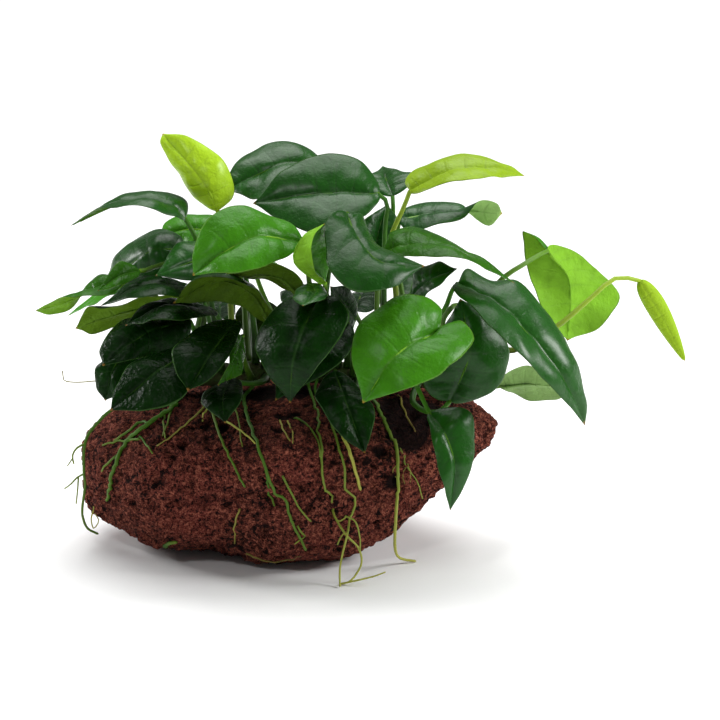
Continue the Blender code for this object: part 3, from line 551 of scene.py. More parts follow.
# The leaves that the front view shows at its left, in its middle and at its right, and then six
# more at the back.
LEAVES = {}
LEAVES["left"] = [
    leaf("young", 0.7, "oval", ("left", 0.62, -5), [(-29, 130, -5), (-35, 142, -8), (-51, 161, 2)],
        left=[(-38, 135, -2), (-45, 145, -2), (-52, 157, 0)],
        right=[(-22, 138, -2), (-27, 151, -2), (-41, 160, 0)], stalk=[(-26, 122, -4)]),
    leaf("dark", 0.8, "ovate", ("left", 0.45, 10),
        [(-42, 127, -12), (-49, 133, -14), (-65, 134, -12), (-88, 124, -8)],
        left=[(-47, 128, -22), (-61, 132, -28), (-77, 130, -18)],
        right=[(-41, 133, -4), (-46, 137, 0), (-56, 138, 2), (-71, 134, -2)], stalk=[(-38, 120, -14)]),
    leaf("bright", 0.42, "heart", ("middle", 0.18, -28),
        [(5, 117, -42), (-11, 120, -50), (-26, 114, -57), (-39, 104, -58)],
        left=[(1, 113, -52), (-11, 107, -62), (-26, 105, -66)],
        right=[(2, 124, -36), (-7, 128, -38), (-20, 133, -42), (-34, 126, -50), (-39, 114, -56)],
        stalk=[(8, 90, -14)]),
    leaf("dark", 0.95, "ovate", ("left", 0.88, -12),
        [(-21, 114, -26), (-36, 111, -36), (-54, 104, -37)], left=[(-27, 104, -37), (-41, 102, -40)],
        right=[(-30, 118, -22), (-45, 117, -26)]),
    leaf("bright", 0.5, "ovate", ("left", 0.8, 25), [(-25, 119, 8), (-38, 123, 16), (-52, 120, 20)],
        left=[(-31, 114, 6), (-42, 116, 12)], right=[(-30, 128, 22), (-40, 129, 26), (-50, 126, 26)]),
    leaf("dark", 0.7, "ovate", ("left", 0.3, -10), [(-42, 115, -8), (-56, 114, -12), (-75, 99, 2)],
        left=[(-48, 106, -14), (-62, 101, -8)], right=[(-46, 122, 4), (-58, 121, 10), (-69, 113, 10)]),
    leaf("bright", 0.12, "lance", ("left", 0.25, -38),
        [(-60, 106, -34), (-68, 104, -42), (-77, 98, -46)], left=[(-69, 100, -48)],
        right=[(-68, 110, -38)], stalk=[(-34, 105, -14), (-48, 109, -20)]),
    leaf("bright", 0.25, "lance", ("left", 0.06, -15),
        [(-66, 101, -22), (-78, 99, -22), (-89, 94, -22), (-102, 90, -20)],
        left=[(-74, 96, -31), (-86, 96, -30), (-95, 94, -25)],
        right=[(-76, 105, -12), (-85, 94, -14), (-95, 88, -16)], stalk=[(-52, 94, -6)]),
    leaf("bright", 0.6, "lance", ("left", 0.02, 30), [(-61, 101, 6), (-74, 97, 6), (-89, 88, 6)],
        left=[(-76, 94, -2)], right=[(-75, 99, 14)]),
    leaf("dark", 0.3, "ovate", ("left", 0.5, -60), [(-36, 98, -26), (-56, 101, -36), (-76, 92, -38)],
        left=[(-56, 96, -48)], right=[(-59, 104, -26)]),
    leaf("olive", 0.6, "ovate", ("left", 0.12, -40),
        [(-40, 94, -16), (-56, 92, -18), (-72, 88, -20), (-86, 83, -20)],
        left=[(-58, 96, -24), (-67, 92, -27), (-75, 91, -28), (-81, 92, -27)],
        right=[(-62, 87, -8), (-71, 83, -12), (-79, 81, -14)], stalk=[(-36, 90, -15)]),
    leaf("olive", 0.3, "ovate", ("left", 0.98, -40),
        [(-8, 86, -20), (-16, 98, -28), (-30, 102, -38), (-47, 93, -48)],
        left=[(-11, 96, -30), (-22, 102, -52), (-38, 103, -59)],
        right=[(-11, 86, -16), (-24, 93, -28), (-38, 93, -40)]),
    leaf("olive", 0.25, "ovate", ("middle", 0.02, -10), [(3, 97, -26), (-6, 104, -36), (-27, 104, -43)],
        left=[(-1, 108, -40), (-13, 108, -50)], right=[(-9, 102, -28)], stalk=[(0, 86, -12)]),
    leaf("dark", 0.05, "ovate", ("left", 0.7, -60), [(-30, 90, -30), (-50, 92, -40), (-66, 84, -48)],
        left=[(-40, 87, -50), (-54, 86, -56)], right=[(-44, 94, -24), (-58, 93, -34)]),
    leaf("dark", 0.1, "ovate", ("left", 0.36, -75), [(-40, 86, -30), (-56, 82, -42), (-75, 68, -50)],
        left=[(-43, 76, -36), (-54, 72, -40), (-65, 70, -50)],
        right=[(-52, 88, -28), (-70, 85, -36), (-76, 74, -44)]),
    leaf("dark", 0.15, "lance", ("left", 0.06, -60), [(-56, 76, -22), (-69, 70, -30), (-74, 54, -34)],
        left=[(-68, 57, -36)], right=[(-77, 68, -28), (-78, 60, -31)]),
    leaf("dark", 0.0, "ovate", ("left", 0.22, -95), [(-35, 76, -44), (-50, 68, -62), (-72, 50, -66)],
        left=[(-37, 66, -62), (-43, 55, -72), (-57, 50, -74)],
        right=[(-47, 75, -44), (-62, 70, -54), (-70, 60, -62)]),
    leaf("dark", 0.0, "ovate", ("left", 0.6, -90), [(-22, 86, -42), (-31, 74, -64), (-41, 58, -74)],
        left=[(-21, 79, -56), (-26, 69, -70), (-33, 62, -74)],
        right=[(-33, 85, -46), (-47, 75, -62), (-46, 66, -70)]),
    leaf("bright", 0.0, "lance", ("left", 0.8, -90), [(-19, 80, -44), (-23, 70, -62), (-29, 60, -72)],
        left=[(-19, 66, -56)], right=[(-25, 68, -68)]),
    leaf("dark", 0.0, "ovate", ("left", 0.97, -95), [(-24, 63, -42), (-27, 55, -60), (-26, 45, -66)],
        left=[(-19, 55, -60)], right=[(-36, 54, -56)])]
LEAVES["middle"] = [
    leaf("dark", 0.8, "ovate", ("middle", 0.4, 20), [(14, 147, 16), (-2, 149, 14), (-26, 138, 8)],
        left=[(6, 138, 0), (-11, 134, -4)],
        right=[(12, 152, 24), (4, 157, 28), (-7, 157, 28), (-18, 153, 22), (-24, 146, 14)]),
    leaf("dark", 0.8, "heart", ("right", 0.06, -5), [(35, 137, -12), (11, 137, -14), (-15, 133, -12)],
        left=[(33, 131, -22), (23, 124, -28), (10, 121, -30), (-4, 126, -22)],
        right=[(35, 142, -4), (27, 151, 0), (15, 153, 0), (-1, 148, -5)],
        stalk=[(38, 124, -8), (39, 133, -9)]),
    leaf("dark", 0.1, "heart", ("middle", 0.55, -80),
        [(11, 95, -60), (5, 82, -74), (1, 68, -78), (0, 53, -72)],
        left=[(18, 96, -62), (24, 89, -68), (20, 79, -74), (10, 66, -78)],
        right=[(3, 96, -58), (-8, 90, -62), (-14, 78, -66), (-10, 66, -74)], stalk=[(10, 91, -38)]),
    leaf("dark", 0.05, "ovate", ("middle", 0.9, -80), [(23, 85, -38), (12, 74, -51), (-6, 54, -58)],
        left=[(25, 76, -48), (18, 67, -56)], right=[(2, 82, -46), (-5, 71, -52)]),
    leaf("dark", 0.8, "ovate", ("middle", 0.36, -62), [(8, 101, -54), (10, 98, -64), (5, 92, -80)],
        left=[(15, 96, -70)], right=[(1, 95, -70)], stalk=[(8, 87, -24)]),
    leaf("bright", 0.4, "lance", ("middle", 0.48, -36),
        [(14, 101, -44), (2, 110, -54), (5, 119, -56), (14, 125, -50)],
        left=[(10, 107, -62), (8, 114, -64), (10, 120, -60)], right=[(16, 109, -44), (16, 118, -42)],
        stalk=[(17, 87, -20)]),
    leaf("dark", 0.6, "ovate", ("middle", 0.72, -38),
        [(23, 129, -42), (27, 120, -54), (36, 110, -63), (54, 108, -56)],
        left=[(28, 129, -37), (32, 122, -41), (37, 115, -47), (46, 112, -51)],
        right=[(18, 130, -47), (14, 125, -53), (14, 116, -60), (16, 106, -69), (25, 98, -74),
            (41, 99, -70)], stalk=[(24, 111, -27)]),
    leaf("dark", 0.8, "ovate", ("right", 0.22, 35), [(41, 136, 20), (39, 141, 28), (37, 148, 48)],
        left=[(31, 142, 30)], right=[(50, 144, 28)], stalk=[(41, 120, 18)]),
    leaf("pale", 0.6, "ovate", ("right", 0.1, 30), [(35, 111, 0), (35, 120, 6), (39, 133, 14)],
        left=[(29, 125, 2)], right=[(43, 126, 10)]),
    leaf("dark", 0.05, "ovate", ("middle", 0.84, -38), [(26, 87, -22), (21, 94, -34), (16, 100, -44)],
        left=[(17, 92, -44)], right=[(24, 99, -30)])]
LEAVES["right"] = [
    leaf("bright", 0.15, "lance", ("right", 0.12, -50),
        [(37, 114, -30), (56, 117, -38), (73, 112, -44), (90, 101, -46)],
        left=[(40, 121, -22), (50, 124, -18), (62, 118, -27), (76, 111, -38)],
        right=[(43, 111, -40), (54, 112, -50), (70, 110, -54)]),
    leaf("young", 0.35, "ovate", ("right", 0.28, 5),
        [(48, 138, -8), (64, 146, -10), (81, 147, -8), (94, 144, -4)],
        left=[(46, 142, -2), (51, 147, 3), (64, 152, 5), (78, 152, 3), (88, 148, 0)],
        right=[(55, 138, -18), (67, 142, -23), (81, 143, -16)], stalk=[(41, 121, -6), (44, 128, -8)]),
    leaf("pale", 0.8, "ovate", ("right", 0.48, 25),
        [(44, 127, 10), (56, 129, 8), (70, 130, 5), (85, 129, 4)],
        left=[(47, 132, 18), (59, 134, 19), (69, 132, 12), (74, 127, 6), (80, 124, 2)],
        right=[(48, 122, 0), (56, 123, -3), (70, 128, -4), (76, 134, -1), (83, 133, 2)]),
    leaf("bright", 0.4, "heart", ("right", 0.86, 20),
        [(103, 114, 12), (111, 104, 18), (112, 93, 20), (111, 78, 14)],
        left=[(98, 119, 16), (93, 122, 19), (94, 110, 16), (99, 95, 14), (105, 84, 13)],
        right=[(111, 115, 22), (124, 106, 30), (132, 96, 32), (124, 83, 24)],
        stalk=[(84, 102, -6), (94, 109, -1)]),
    leaf("young", 0.4, "rolled", ("right", 0.98, 15),
        [(140, 102, 18), (146, 93, 20), (152, 82, 20), (158, 70, 18)], left=[(142, 91, 20)],
        right=[(151, 94, 20)], stalk=[(92, 75, -2), (107, 84, 2), (119, 94, 8), (130, 103, 14)]),
    leaf("dark", 0.9, "ovate", ("right", 0.44, -32),
        [(67, 101, -36), (83, 93, -45), (98, 78, -52), (110, 62, -53), (118, 44, -48)],
        left=[(71, 107, -26), (80, 103, -30), (91, 102, -31), (102, 91, -36), (112, 76, -42),
            (119, 54, -47)], right=[(66, 97, -48), (74, 91, -56), (85, 79, -63), (102, 62, -61)],
        stalk=[(62, 91, -26)]),
    leaf("dark", 0.6, "broad", ("right", 0.55, -90),
        [(64, 54, -38), (68, 62, -38), (72, 74, -38), (68, 95, -31)],
        left=[(58, 55, -38), (53, 61, -37), (56, 74, -33), (64, 88, -30)],
        right=[(73, 54, -37), (84, 60, -35), (88, 72, -30), (80, 88, -28)],
        stalk=[(49, 54, -24), (54, 50, -32), (60, 50, -37)]),
    leaf("bright", 0.4, "heart", ("right", 0.64, -48), [(60, 82, -62), (43, 73, -77), (29, 53, -80)],
        left=[(68, 86, -60), (74, 79, -66), (61, 65, -80), (45, 58, -86)],
        right=[(60, 92, -56), (46, 97, -58), (30, 88, -64), (24, 74, -72)],
        stalk=[(70, 81, -10), (67, 92, -20), (62, 88, -40)]),
    leaf("dark", 0.9, "ovate", ("right", 0.34, -95),
        [(56, 49, -52), (62, 41, -60), (66, 28, -64), (64, 10, -64)],
        left=[(72, 50, -54), (74, 38, -58), (73, 28, -62), (69, 18, -64)],
        right=[(56, 43, -58), (58, 33, -64), (61, 21, -67)], stalk=[(50, 61, -43)]),
    leaf("dark", 0.1, "ovate", ("middle", 0.97, -115), [(18, 66, -48), (23, 52, -60), (30, 33, -66)],
        left=[(29, 58, -52), (34, 50, -60), (32, 39, -66)],
        right=[(10, 56, -56), (13, 50, -62), (20, 40, -67)]),
    leaf("pale", 0.4, "ovate", ("right", 0.97, -50), [(84, 60, -5), (96, 61, -6), (113, 59, -5)],
        left=[(89, 57, 4), (97, 54, 4), (106, 54, 2)], right=[(87, 66, -12), (96, 68, -14)]),
    leaf("dark", 1.0, "lance", ("right", 0.26, -35), [(49, 96, -36), (56, 102, -40), (67, 107, -42)],
        left=[(50, 105, -30), (58, 110, -32)], right=[(54, 96, -46), (61, 101, -48)])]
LEAVES["back"] = [
    leaf("dark", 0.1, "ovate", ("left", 0.15, 75), [(-28, 87, 20), (-28, 92, 40), (-30, 96, 64)],
        left=[(-37, 91, 42)], right=[(-22, 93, 46)]),
    leaf("dark", 0.1, "broad", ("left", 0.85, 80), [(-15, 94, 26), (-14, 86, 38), (-13, 76, 42)],
        left=[(-22, 87, 34)], right=[(-2, 88, 36)]),
    leaf("dark", 0.1, "ovate", ("middle", 0.3, 80), [(3, 93, 24), (4, 98, 44), (4, 101, 72)],
        left=[(-4, 97, 46)], right=[(13, 98, 48)]),
    leaf("olive", 0.1, "ovate", ("right", 0.05, 80), [(26, 90, 24), (28, 96, 46), (30, 99, 70)],
        left=[(20, 94, 50)], right=[(38, 96, 50)]),
    leaf("dark", 0.4, "ovate", ("right", 0.7, 75), [(47, 94, 20), (49, 102, 38), (50, 110, 58)],
        left=[(42, 101, 46)], right=[(56, 101, 36)]),
    leaf("bright", 0.4, "ovate", ("middle", 0.1, 50), [(-14, 106, 14), (-15, 110, 34), (-17, 106, 62)],
        left=[(-26, 107, 36)], right=[(-5, 109, 36)])]


def crown_point(crown):
    """A point beside a rhizome, a gap from its bark, and the direction away from it there."""
    name, along, angle = crown
    path = rhizomes[name]
    along = RHIZOME_BARE_END + (1 - 2 * RHIZOME_BARE_END) * along
    direction = path.slope(along)
    back = square_to(Vector((0, 1, 0)), direction)
    up = square_to(Vector((0, 0, 1)), direction)
    away = up * math.cos(math.radians(angle)) + back * math.sin(math.radians(angle))
    return path.at(along) + away * (RHIZOME_RADIUS + GAP), away


class Blade:
    """The lines that a leaf's blade is spread between: its midrib and its two margins."""

    def __init__(self, part, age):
        self.midrib = Path([place(*spot) for spot in part["midrib"]])
        self.margins = [self.margin(part, side) for side in ("left", "right")]
        self.age = age

    def margin(self, part, side):
        """The margin on one side. It leaves the stalk outwards, or backwards too where it's lobed."""
        base, tip = self.midrib.at(0), self.midrib.at(1)
        points = [base, *[place(*spot) for spot in part[side]], tip]
        outward = square_to(points[1] - base, self.midrib.slope(0))
        start = outward - self.midrib.slope(0) * part["lobe"]
        end = (tip - points[-2]).normalized() + self.midrib.slope(1) * part["drawn_out"]
        return Path(points, start, end)

    def row(self, u):
        """The row across the blade at station u: its middle, the midrib's direction, its reaches."""
        station = u ** BLADE_GATHER
        middle = self.midrib.at(station)
        return middle, self.midrib.slope(station), [line.at(u) - middle for line in self.margins]

    def faces(self, u):
        """The directions that the blade's left half, its midrib and its right half face."""
        _, tangent, (left, right) = self.row(min(max(u, BLADE_FACES_FROM), BLADE_FACES_TO))
        left_face = tangent.cross(left).normalized()
        right_face = right.cross(tangent).normalized()
        return left_face, (left_face + right_face).normalized(), right_face

    def across(self):
        """From the left margin to the right one, halfway along the blade."""
        left, right = [line.at(0.5) for line in self.margins]
        return right - left

    def relief(self, u, t, width):
        """How high the blade stands above the flat there: arched, swollen between the veins."""
        share = abs(t)
        arch = BLADE_CAMBER * width * 4 * share * (1 - share)
        vein = (BLADE_VEINS * (u + AGE_SWELL * self.age)) % 1
        swell = BLADE_SWELL * math.sin(math.pi * vein) ** BLADE_SWELL_WALL
        swell *= math.sin(math.pi * share ** BLADE_SWELL_WALL)
        turn = BLADE_WAVES * u + AGE_WAVES * self.age + (OTHER_HALF_WAVES if t < 0 else 0)
        wave = BLADE_WAVE * math.sin(2 * math.pi * turn) * share ** BLADE_WAVE_EDGE
        return arch + (swell + wave * math.sin(math.pi * u)) * min(1, width / BLADE_SMALL)

    def ring(self, u):
        """The section at station u: the upper side from left to right, and back along the lower."""
        middle, tangent, (left, right) = self.row(u)
        left_face, middle_face, right_face = self.faces(u)
        over, under = [], []
        for t in columns():
            reach, half_face = (left, left_face) if t < 0 else (right, right_face)
            share, width = abs(t), reach.length
            small = min(1, width / BLADE_SMALL)
            reach = reach * (1 - BLADE_RAGGED * self.unevenness(middle + reach) * share)
            facing = middle_face.lerp(half_face, min(1, BLADE_KEEL * share)).normalized()
            ahead = tangent * reach.dot(tangent)
            flat = middle + (reach - ahead) * share + ahead * share ** BLADE_SWEEP
            spot = Vector((u * self.midrib.length, t * width, AGE_DENTS * self.age))
            crumple = BLADE_CRUMPLE * noise.noise(spot / BLADE_CRUMPLE_SIZE) * small
            point = flat + facing * (self.relief(u, t, width) + crumple)
            half_thickness = BLADE_THICKNESS / 2 * (1 - share ** BLADE_EDGE)
            groove = BLADE_GROOVE * math.exp(-(share * width / BLADE_GROOVE_WIDTH) ** 2)
            over.append(point + facing * (half_thickness - groove * small))
            under.append(point - facing * half_thickness)
        return over + under[-2:0:-1]

    def unevenness(self, spot):
        """From 0 to 1, changing slowly from place to place along the margin."""
        return 0.5 + noise.noise(spot / BLADE_RAGGED_SIZE + Vector((0, 0, AGE_MARGIN * self.age)))


def columns():
    """The blade's columns of points, from the left margin -1 to the right one 1."""
    places = []
    for i in range(BLADE_COLUMNS + 1):
        even = 2 * i / BLADE_COLUMNS - 1
        places.append(even - BLADE_CROWDING * math.sin(2 * math.pi * even) / (2 * math.pi))
    return places


def rolled_ring(blade, u):
    """The section at station u of a young leaf whose blade is still rolled up."""
    middle, direction = blade.midrib.at(u), blade.midrib.slope(u)
    out = math.sin(math.pi * u ** ROLLED_WIDEST) ** ROLLED_FULLNESS
    radius = ROLLED_CORE + blade.across().length / 2 * out
    side = square_to(blade.across(), direction)
    ring = round_ring(middle, side, direction, radius, 2 * BLADE_COLUMNS)
    for i, point in enumerate(ring):
        lap = 1 - ROLLED_LAP * ((i / len(ring) + ROLLED_LAP_AT) % 1)
        ring[i] = middle + (point - middle) * lap
    return ring


def stalk_path(part, blade):
    """The line of the stalk, from the rhizome to where the blade begins."""
    foot, away = crown_point(part["crown"])
    line = [foot, *[place(*spot) for spot in part["stalk"]], blade.midrib.at(0)]
    slant = blade.midrib.slope(0) + blade.faces(0)[1]
    arrive = (line[-1] - line[-2]).normalized() + slant * STALK_BEND
    leave = away + (line[1] - foot).normalized() * STALK_AIM
    return Path(line, leave, arrive)


def stalk_rings(part, blade):
    """The rings of the stalk, and of the midrib that it runs on as under the blade."""
    path = stalk_path(part, blade)
    across = blade.across()
    rings = []
    for i in range(STALK_RINGS + 1):
        along = i / STALK_RINGS
        radius = STALK_FOOT_RADIUS + (STALK_TOP_RADIUS - STALK_FOOT_RADIUS) * along
        radius *= 1 + STALK_SHEATH * (1 - along) ** STALK_SHEATH_END
        direction = path.slope(along)
        side = square_to(across, direction)
        rings.append(round_ring(path.at(along), side, direction, radius, STALK_SIDES))
    if part["rolled"]:
        return rings, path.at(1) + path.slope(1) * STALK_TOP_RADIUS
    for i in range(1, MIDRIB_RINGS + 1):
        u = MIDRIB_END * i / MIDRIB_RINGS
        radius = STALK_TOP_RADIUS * (MIDRIB_TIP + (1 - MIDRIB_TIP) * (1 - u) ** MIDRIB_TAPER)
        middle, direction, _ = blade.row(u)
        middle = middle - blade.faces(u)[1] * (MIDRIB_SUNK + radius)
        side = square_to(across, direction)
        rings.append(round_ring(middle, side, direction, radius, STALK_SIDES))
    return rings, blade.row(MIDRIB_END)[0]


def leaf_mesh(name, part, finishes, age):
    """The blade and the stalk of one leaf, with the blade's two sides in finishes of their own."""
    blade = Blade(part, age)
    stations = [(k / BLADE_ROWS) ** BLADE_ROWS_CROWDING for k in range(1, BLADE_ROWS)]
    rings = [rolled_ring(blade, u) if part["rolled"] else blade.ring(u) for u in stations]
    vertices, faces = skin(rings, blade.midrib.at(0), blade.midrib.at(1))
    around = 2 * BLADE_COLUMNS
    sides = [UPPER_FINISH if i % around < BLADE_COLUMNS else LOWER_FINISH for i in range(len(faces))]
    edge_to_edge = [(t + 1) / 2 for t in columns()]
    ring_across = edge_to_edge + edge_to_edge[-2:0:-1]
    spots = [(across, u) for u in stations for across in ring_across] + [(0.5, 0), (0.5, 1)]
    tube, tip = stalk_rings(part, blade)
    tube_stations = [i / STALK_RINGS for i in range(STALK_RINGS + 1)]
    tube_stations += [MIDRIB_END * i / MIDRIB_RINGS for i in range(1, MIDRIB_RINGS + 1)]
    tube_vertices, tube_faces = skin(tube, None, tip)
    faces += [tuple(i + len(vertices) for i in face) for face in tube_faces]
    vertices += tube_vertices
    stalk_faces = STALK_SIDES * (len(tube) if part["rolled"] else STALK_RINGS)
    sides += [STALK_FINISH if i < stalk_faces else LOWER_FINISH for i in range(len(tube_faces))]
    spots += [(0.5, tube_stations[min(i // STALK_SIDES, len(tube) - 1)])
              for i in range(len(tube_vertices))]
    piece = join(name, vertices, faces, finishes, sides)
    layer = piece.data.uv_layers.new(name="blade")
    for loop in piece.data.loops:
        layer.data[loop.index].uv = spots[loop.vertex_index]
    return piece


def blade_place(paint):
    """How far across the blade and how far along it a point is, from 0 to 1."""
    spot = paint.node("ShaderNodeUVMap", {"uv_map": "blade"})
    return [paint.node("ShaderNodeSeparateXYZ", None, {0: spot}, axis) for axis in "XY"]


def part_of(colour, share):
    """A colour made darker, or lighter where the share is over 1."""
    return tuple(min(1, c * share) for c in colour)


def sum_of(first, second, extra=0):
    """Two colours added up, with some extra of red, green and blue."""
    return tuple(a + b + extra for a, b in zip(first, second))


def blade_finish(name, colour, margin, roughness, mottled, shine, veined):
    """One side of a blade: lighter or darker by its tone, which holds painted light and shade, mottled,
    paler along the midrib and the side veins, and paler at the margin, partly as painted rim light.
    """
    paint = Paint(name, {"Coat Roughness": 0.3, "Specular IOR Level": 0.06})
    across, along = blade_place(paint)
    share = abs(across * 2 - 1)
    turn = abs(2 * along.maths("FRACT", along * BLADE_VEINS) - 1)
    vein = paint.step(turn, off=0.80, on=1.0) * paint.step(share, off=0.9, on=0.5)
    tone_and_shade = paint.attribute("tone_and_shade")
    mottle = paint.step(paint.grain(size=5, detail=3), off=0.3, on=0.75) - 0.5
    pale = sum_of(part_of(colour, 0.55), part_of(margin, 0.45))
    # The tone paints light and shade into the colour, along with the leaf's own lightness.
    body = paint.mix(tone_and_shade + mottle * mottled, part_of(colour, DARKEST), part_of(colour, LIGHTEST))
    body = paint.over(body, pale, vein, strength=veined)
    body = paint.over(body, pale, paint.step(share, off=0.055, on=0.015), strength=0.35)
    # The paler margin is partly painted rim light, where the edges catch the light.
    body = paint.over(body, margin, paint.step(share, off=0.955, on=0.99), strength=0.6)
    body = paint.over(body, LEAF_TIP, paint.step(along, off=0.975, on=0.99), strength=0.7)
    wrinkles, dents = paint.grain(size=1.1, detail=3), paint.grain(size=2.6, detail=4)
    relief = wrinkles * 0.3 + dents * 0.8 - vein * 0.2
    uneven = 0.16 * (paint.grain(size=7, detail=2) - 0.5)
    return paint.finish(Base_Color=body, Roughness=roughness + uneven, Coat_Weight=tone_and_shade * shine,
                        Normal=paint.bump(relief, distance=0.75))


def stalk_finish(name, colour):
    """The round stalk, darker at its foot as painted shade, lighter upwards by its leaf's tone, and
    darker in streaks.
    """
    paint = Paint(name, {"Roughness": 0.45, "Specular IOR Level": 0.25})
    _, along = blade_place(paint)
    # Painted shade at the foot, where the stalks lie under the leaves. Upwards the stalk is lighter,
    # more so for a high tone, which also paints light.
    dark = part_of(colour, 0.2)
    light = paint.step(along, off=0.2, on=0.9) * (paint.attribute("tone_and_shade") + 0.55)
    body = paint.over(paint.mix(light, dark, colour), dark, paint.grain(size=2, detail=2), strength=0.3)
    relief = paint.grain(size=0.6, detail=2)
    return paint.finish(Base_Color=body, Normal=paint.bump(relief, distance=0.1))


# A margin is paler and yellower than its leaf, from the colours of the stalk and of the lower side:
# partly its own colour, partly painted rim light where the edges catch the light.
finishes = {}
for name, (upper, lower, stalk, roughness, mottled) in LEAF_COLOURS.items():
    margin = sum_of(part_of(stalk, 0.45), part_of(lower, 0.25), extra=0.02)
    finishes[name] = [
        blade_finish(name + " leaf above", upper, margin, roughness, mottled, shine=0.5, veined=0.1),
        blade_finish(name + " leaf below", lower, margin, 0.5, mottled, shine=0, veined=0.25),
        stalk_finish(name + " stalk", stalk)]

numbered = [(f"{group}_{i + 1:02d}", part) for group, parts in LEAVES.items()
            for i, part in enumerate(parts)]
for count, (name, part) in enumerate(numbered):
    piece = leaf_mesh("blade_" + name, part, finishes[part["colour"]], count * AGE_STEP % 1)
    carry(piece, "tone_and_shade", [part["tone_and_shade"]] * len(piece.data.vertices))
    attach(piece, "root")
    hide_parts("leaf_" + name)
    part["colour"] + "_leaf"

# ---- The roots -------------------------------------------------------------------------------
# Eight thick roots creep over the stone and hang from its edges to the floor. Where light reaches
# them they are green, and towards their growing ends yellow. Finer ones branch off them and cling
# to the pitted surface.

ROOT_SIDES = 10
ROOT_RING_SPACING = 1.6
ROOT_RINGS_LEAST = 5
ROOT_ANGLE = -110              # from straight up, in degrees: it leaves the rhizome forwards
ROOT_TAPER = 0.3
ROOT_KNOBS = 0.12              # how much thicker or thinner it is in places of this length
ROOT_KNOB_SIZE = 2
ROOT_WOBBLE = 0.22             # how far it wanders from a smooth line, of its radius
ROOT_WOBBLE_SIZE = 5
ROOT_WOBBLE_GROWTH = 5         # the higher, the nearer to its start it wanders so far
ROOT_GRIP = 0.8                # how much of its radius stands clear of the stone
ROOT_RIPENING = 1.5            # the higher, the later a root ripens towards its end
FINE_ROOT_RIPENING = 0.2       # how much riper a fine root's end is than its start
SHOWN_FROM = -90               # the stone lies between these depths
SHOWN_TO = 60
ROOT_GREEN = (0.034, 0.120, 0.003)
ROOT_YELLOW = (0.42, 0.42, 0.07)
ROOT_BROWN = (0.12, 0.075, 0.02)
# How thick each root is, how ripe at its start and at its end, where 0 is green, 1 yellow and 2
# brown, its rhizome and how far along that it starts, and where it runs. A place of (across, up)
# lies on the stone, and one of (across, up, back) is free.
ROOTS = [
    (0.7, (0.0, 0.15), ("left", 0.0), [(-60, 57, -14), (-72, 50, -17), (-79, 43, -19), (-82, 37, -21),
     (-82.5, 26, -22), (-82, 20, -22), (-83, 12, -20), (-83, 8, -18), (-81, 3, -15), (-77, 1, -13)]),
    (1.0, (0.0, 0.1), ("left", 0.1), [(-43, 56), (-48, 50), (-54, 46), (-60, 42), (-66, 36), (-69, 30),
     (-71, 22), (-73, 14)]),
    (0.6, (0.2, 0.1), ("left", 0.48), [(-32, 54), (-30, 46), (-28, 40), (-24, 31), (-20, 24),
     (-18, 20)]),
    (0.7, (0.0, 0.15), ("left", 0.86), [(-18, 56), (-18, 51), (-15, 42), (-12, 34), (-9, 25), (-6, 17),
     (-2, 15), (0, 8), (4, -1), (6, -5)]),
    (0.8, (0.4, 1.25), ("middle", 0.7), [(19, 56), (20, 48), (21, 41), (24, 33), (26, 27), (28, 19)]),
    (0.55, (0.0, 0.9), ("middle", 0.3), [(10, 52), (12, 38), (13, 26), (14, 19), (17, 16), (17, 10),
     (22, 1, -56), (27.5, -5, -55), (28.5, -11, -54), (26, -16, -55), (23.5, -18.5, -57.5)]),
    (0.55, (0.0, 0.9), ("middle", 0.5), [(17, 44), (20, 34), (22, 26), (22, 19), (26, 15), (24, 8),
     (23, 1, -58), (21, -7, -57), (20, -13, -56), (20, -18, -58), (20, -20, -60)]),
    (0.75, (0.0, 1.2), ("right", 0.05), [(33, 54), (36, 49), (39, 42), (42, 36), (43, 27), (43, 18),
     (42.5, 10, -48), (42, 1, -46), (42, -4, -42), (43, -8, -36.5), (46, -9.5, -33), (50, -10, -32)])]

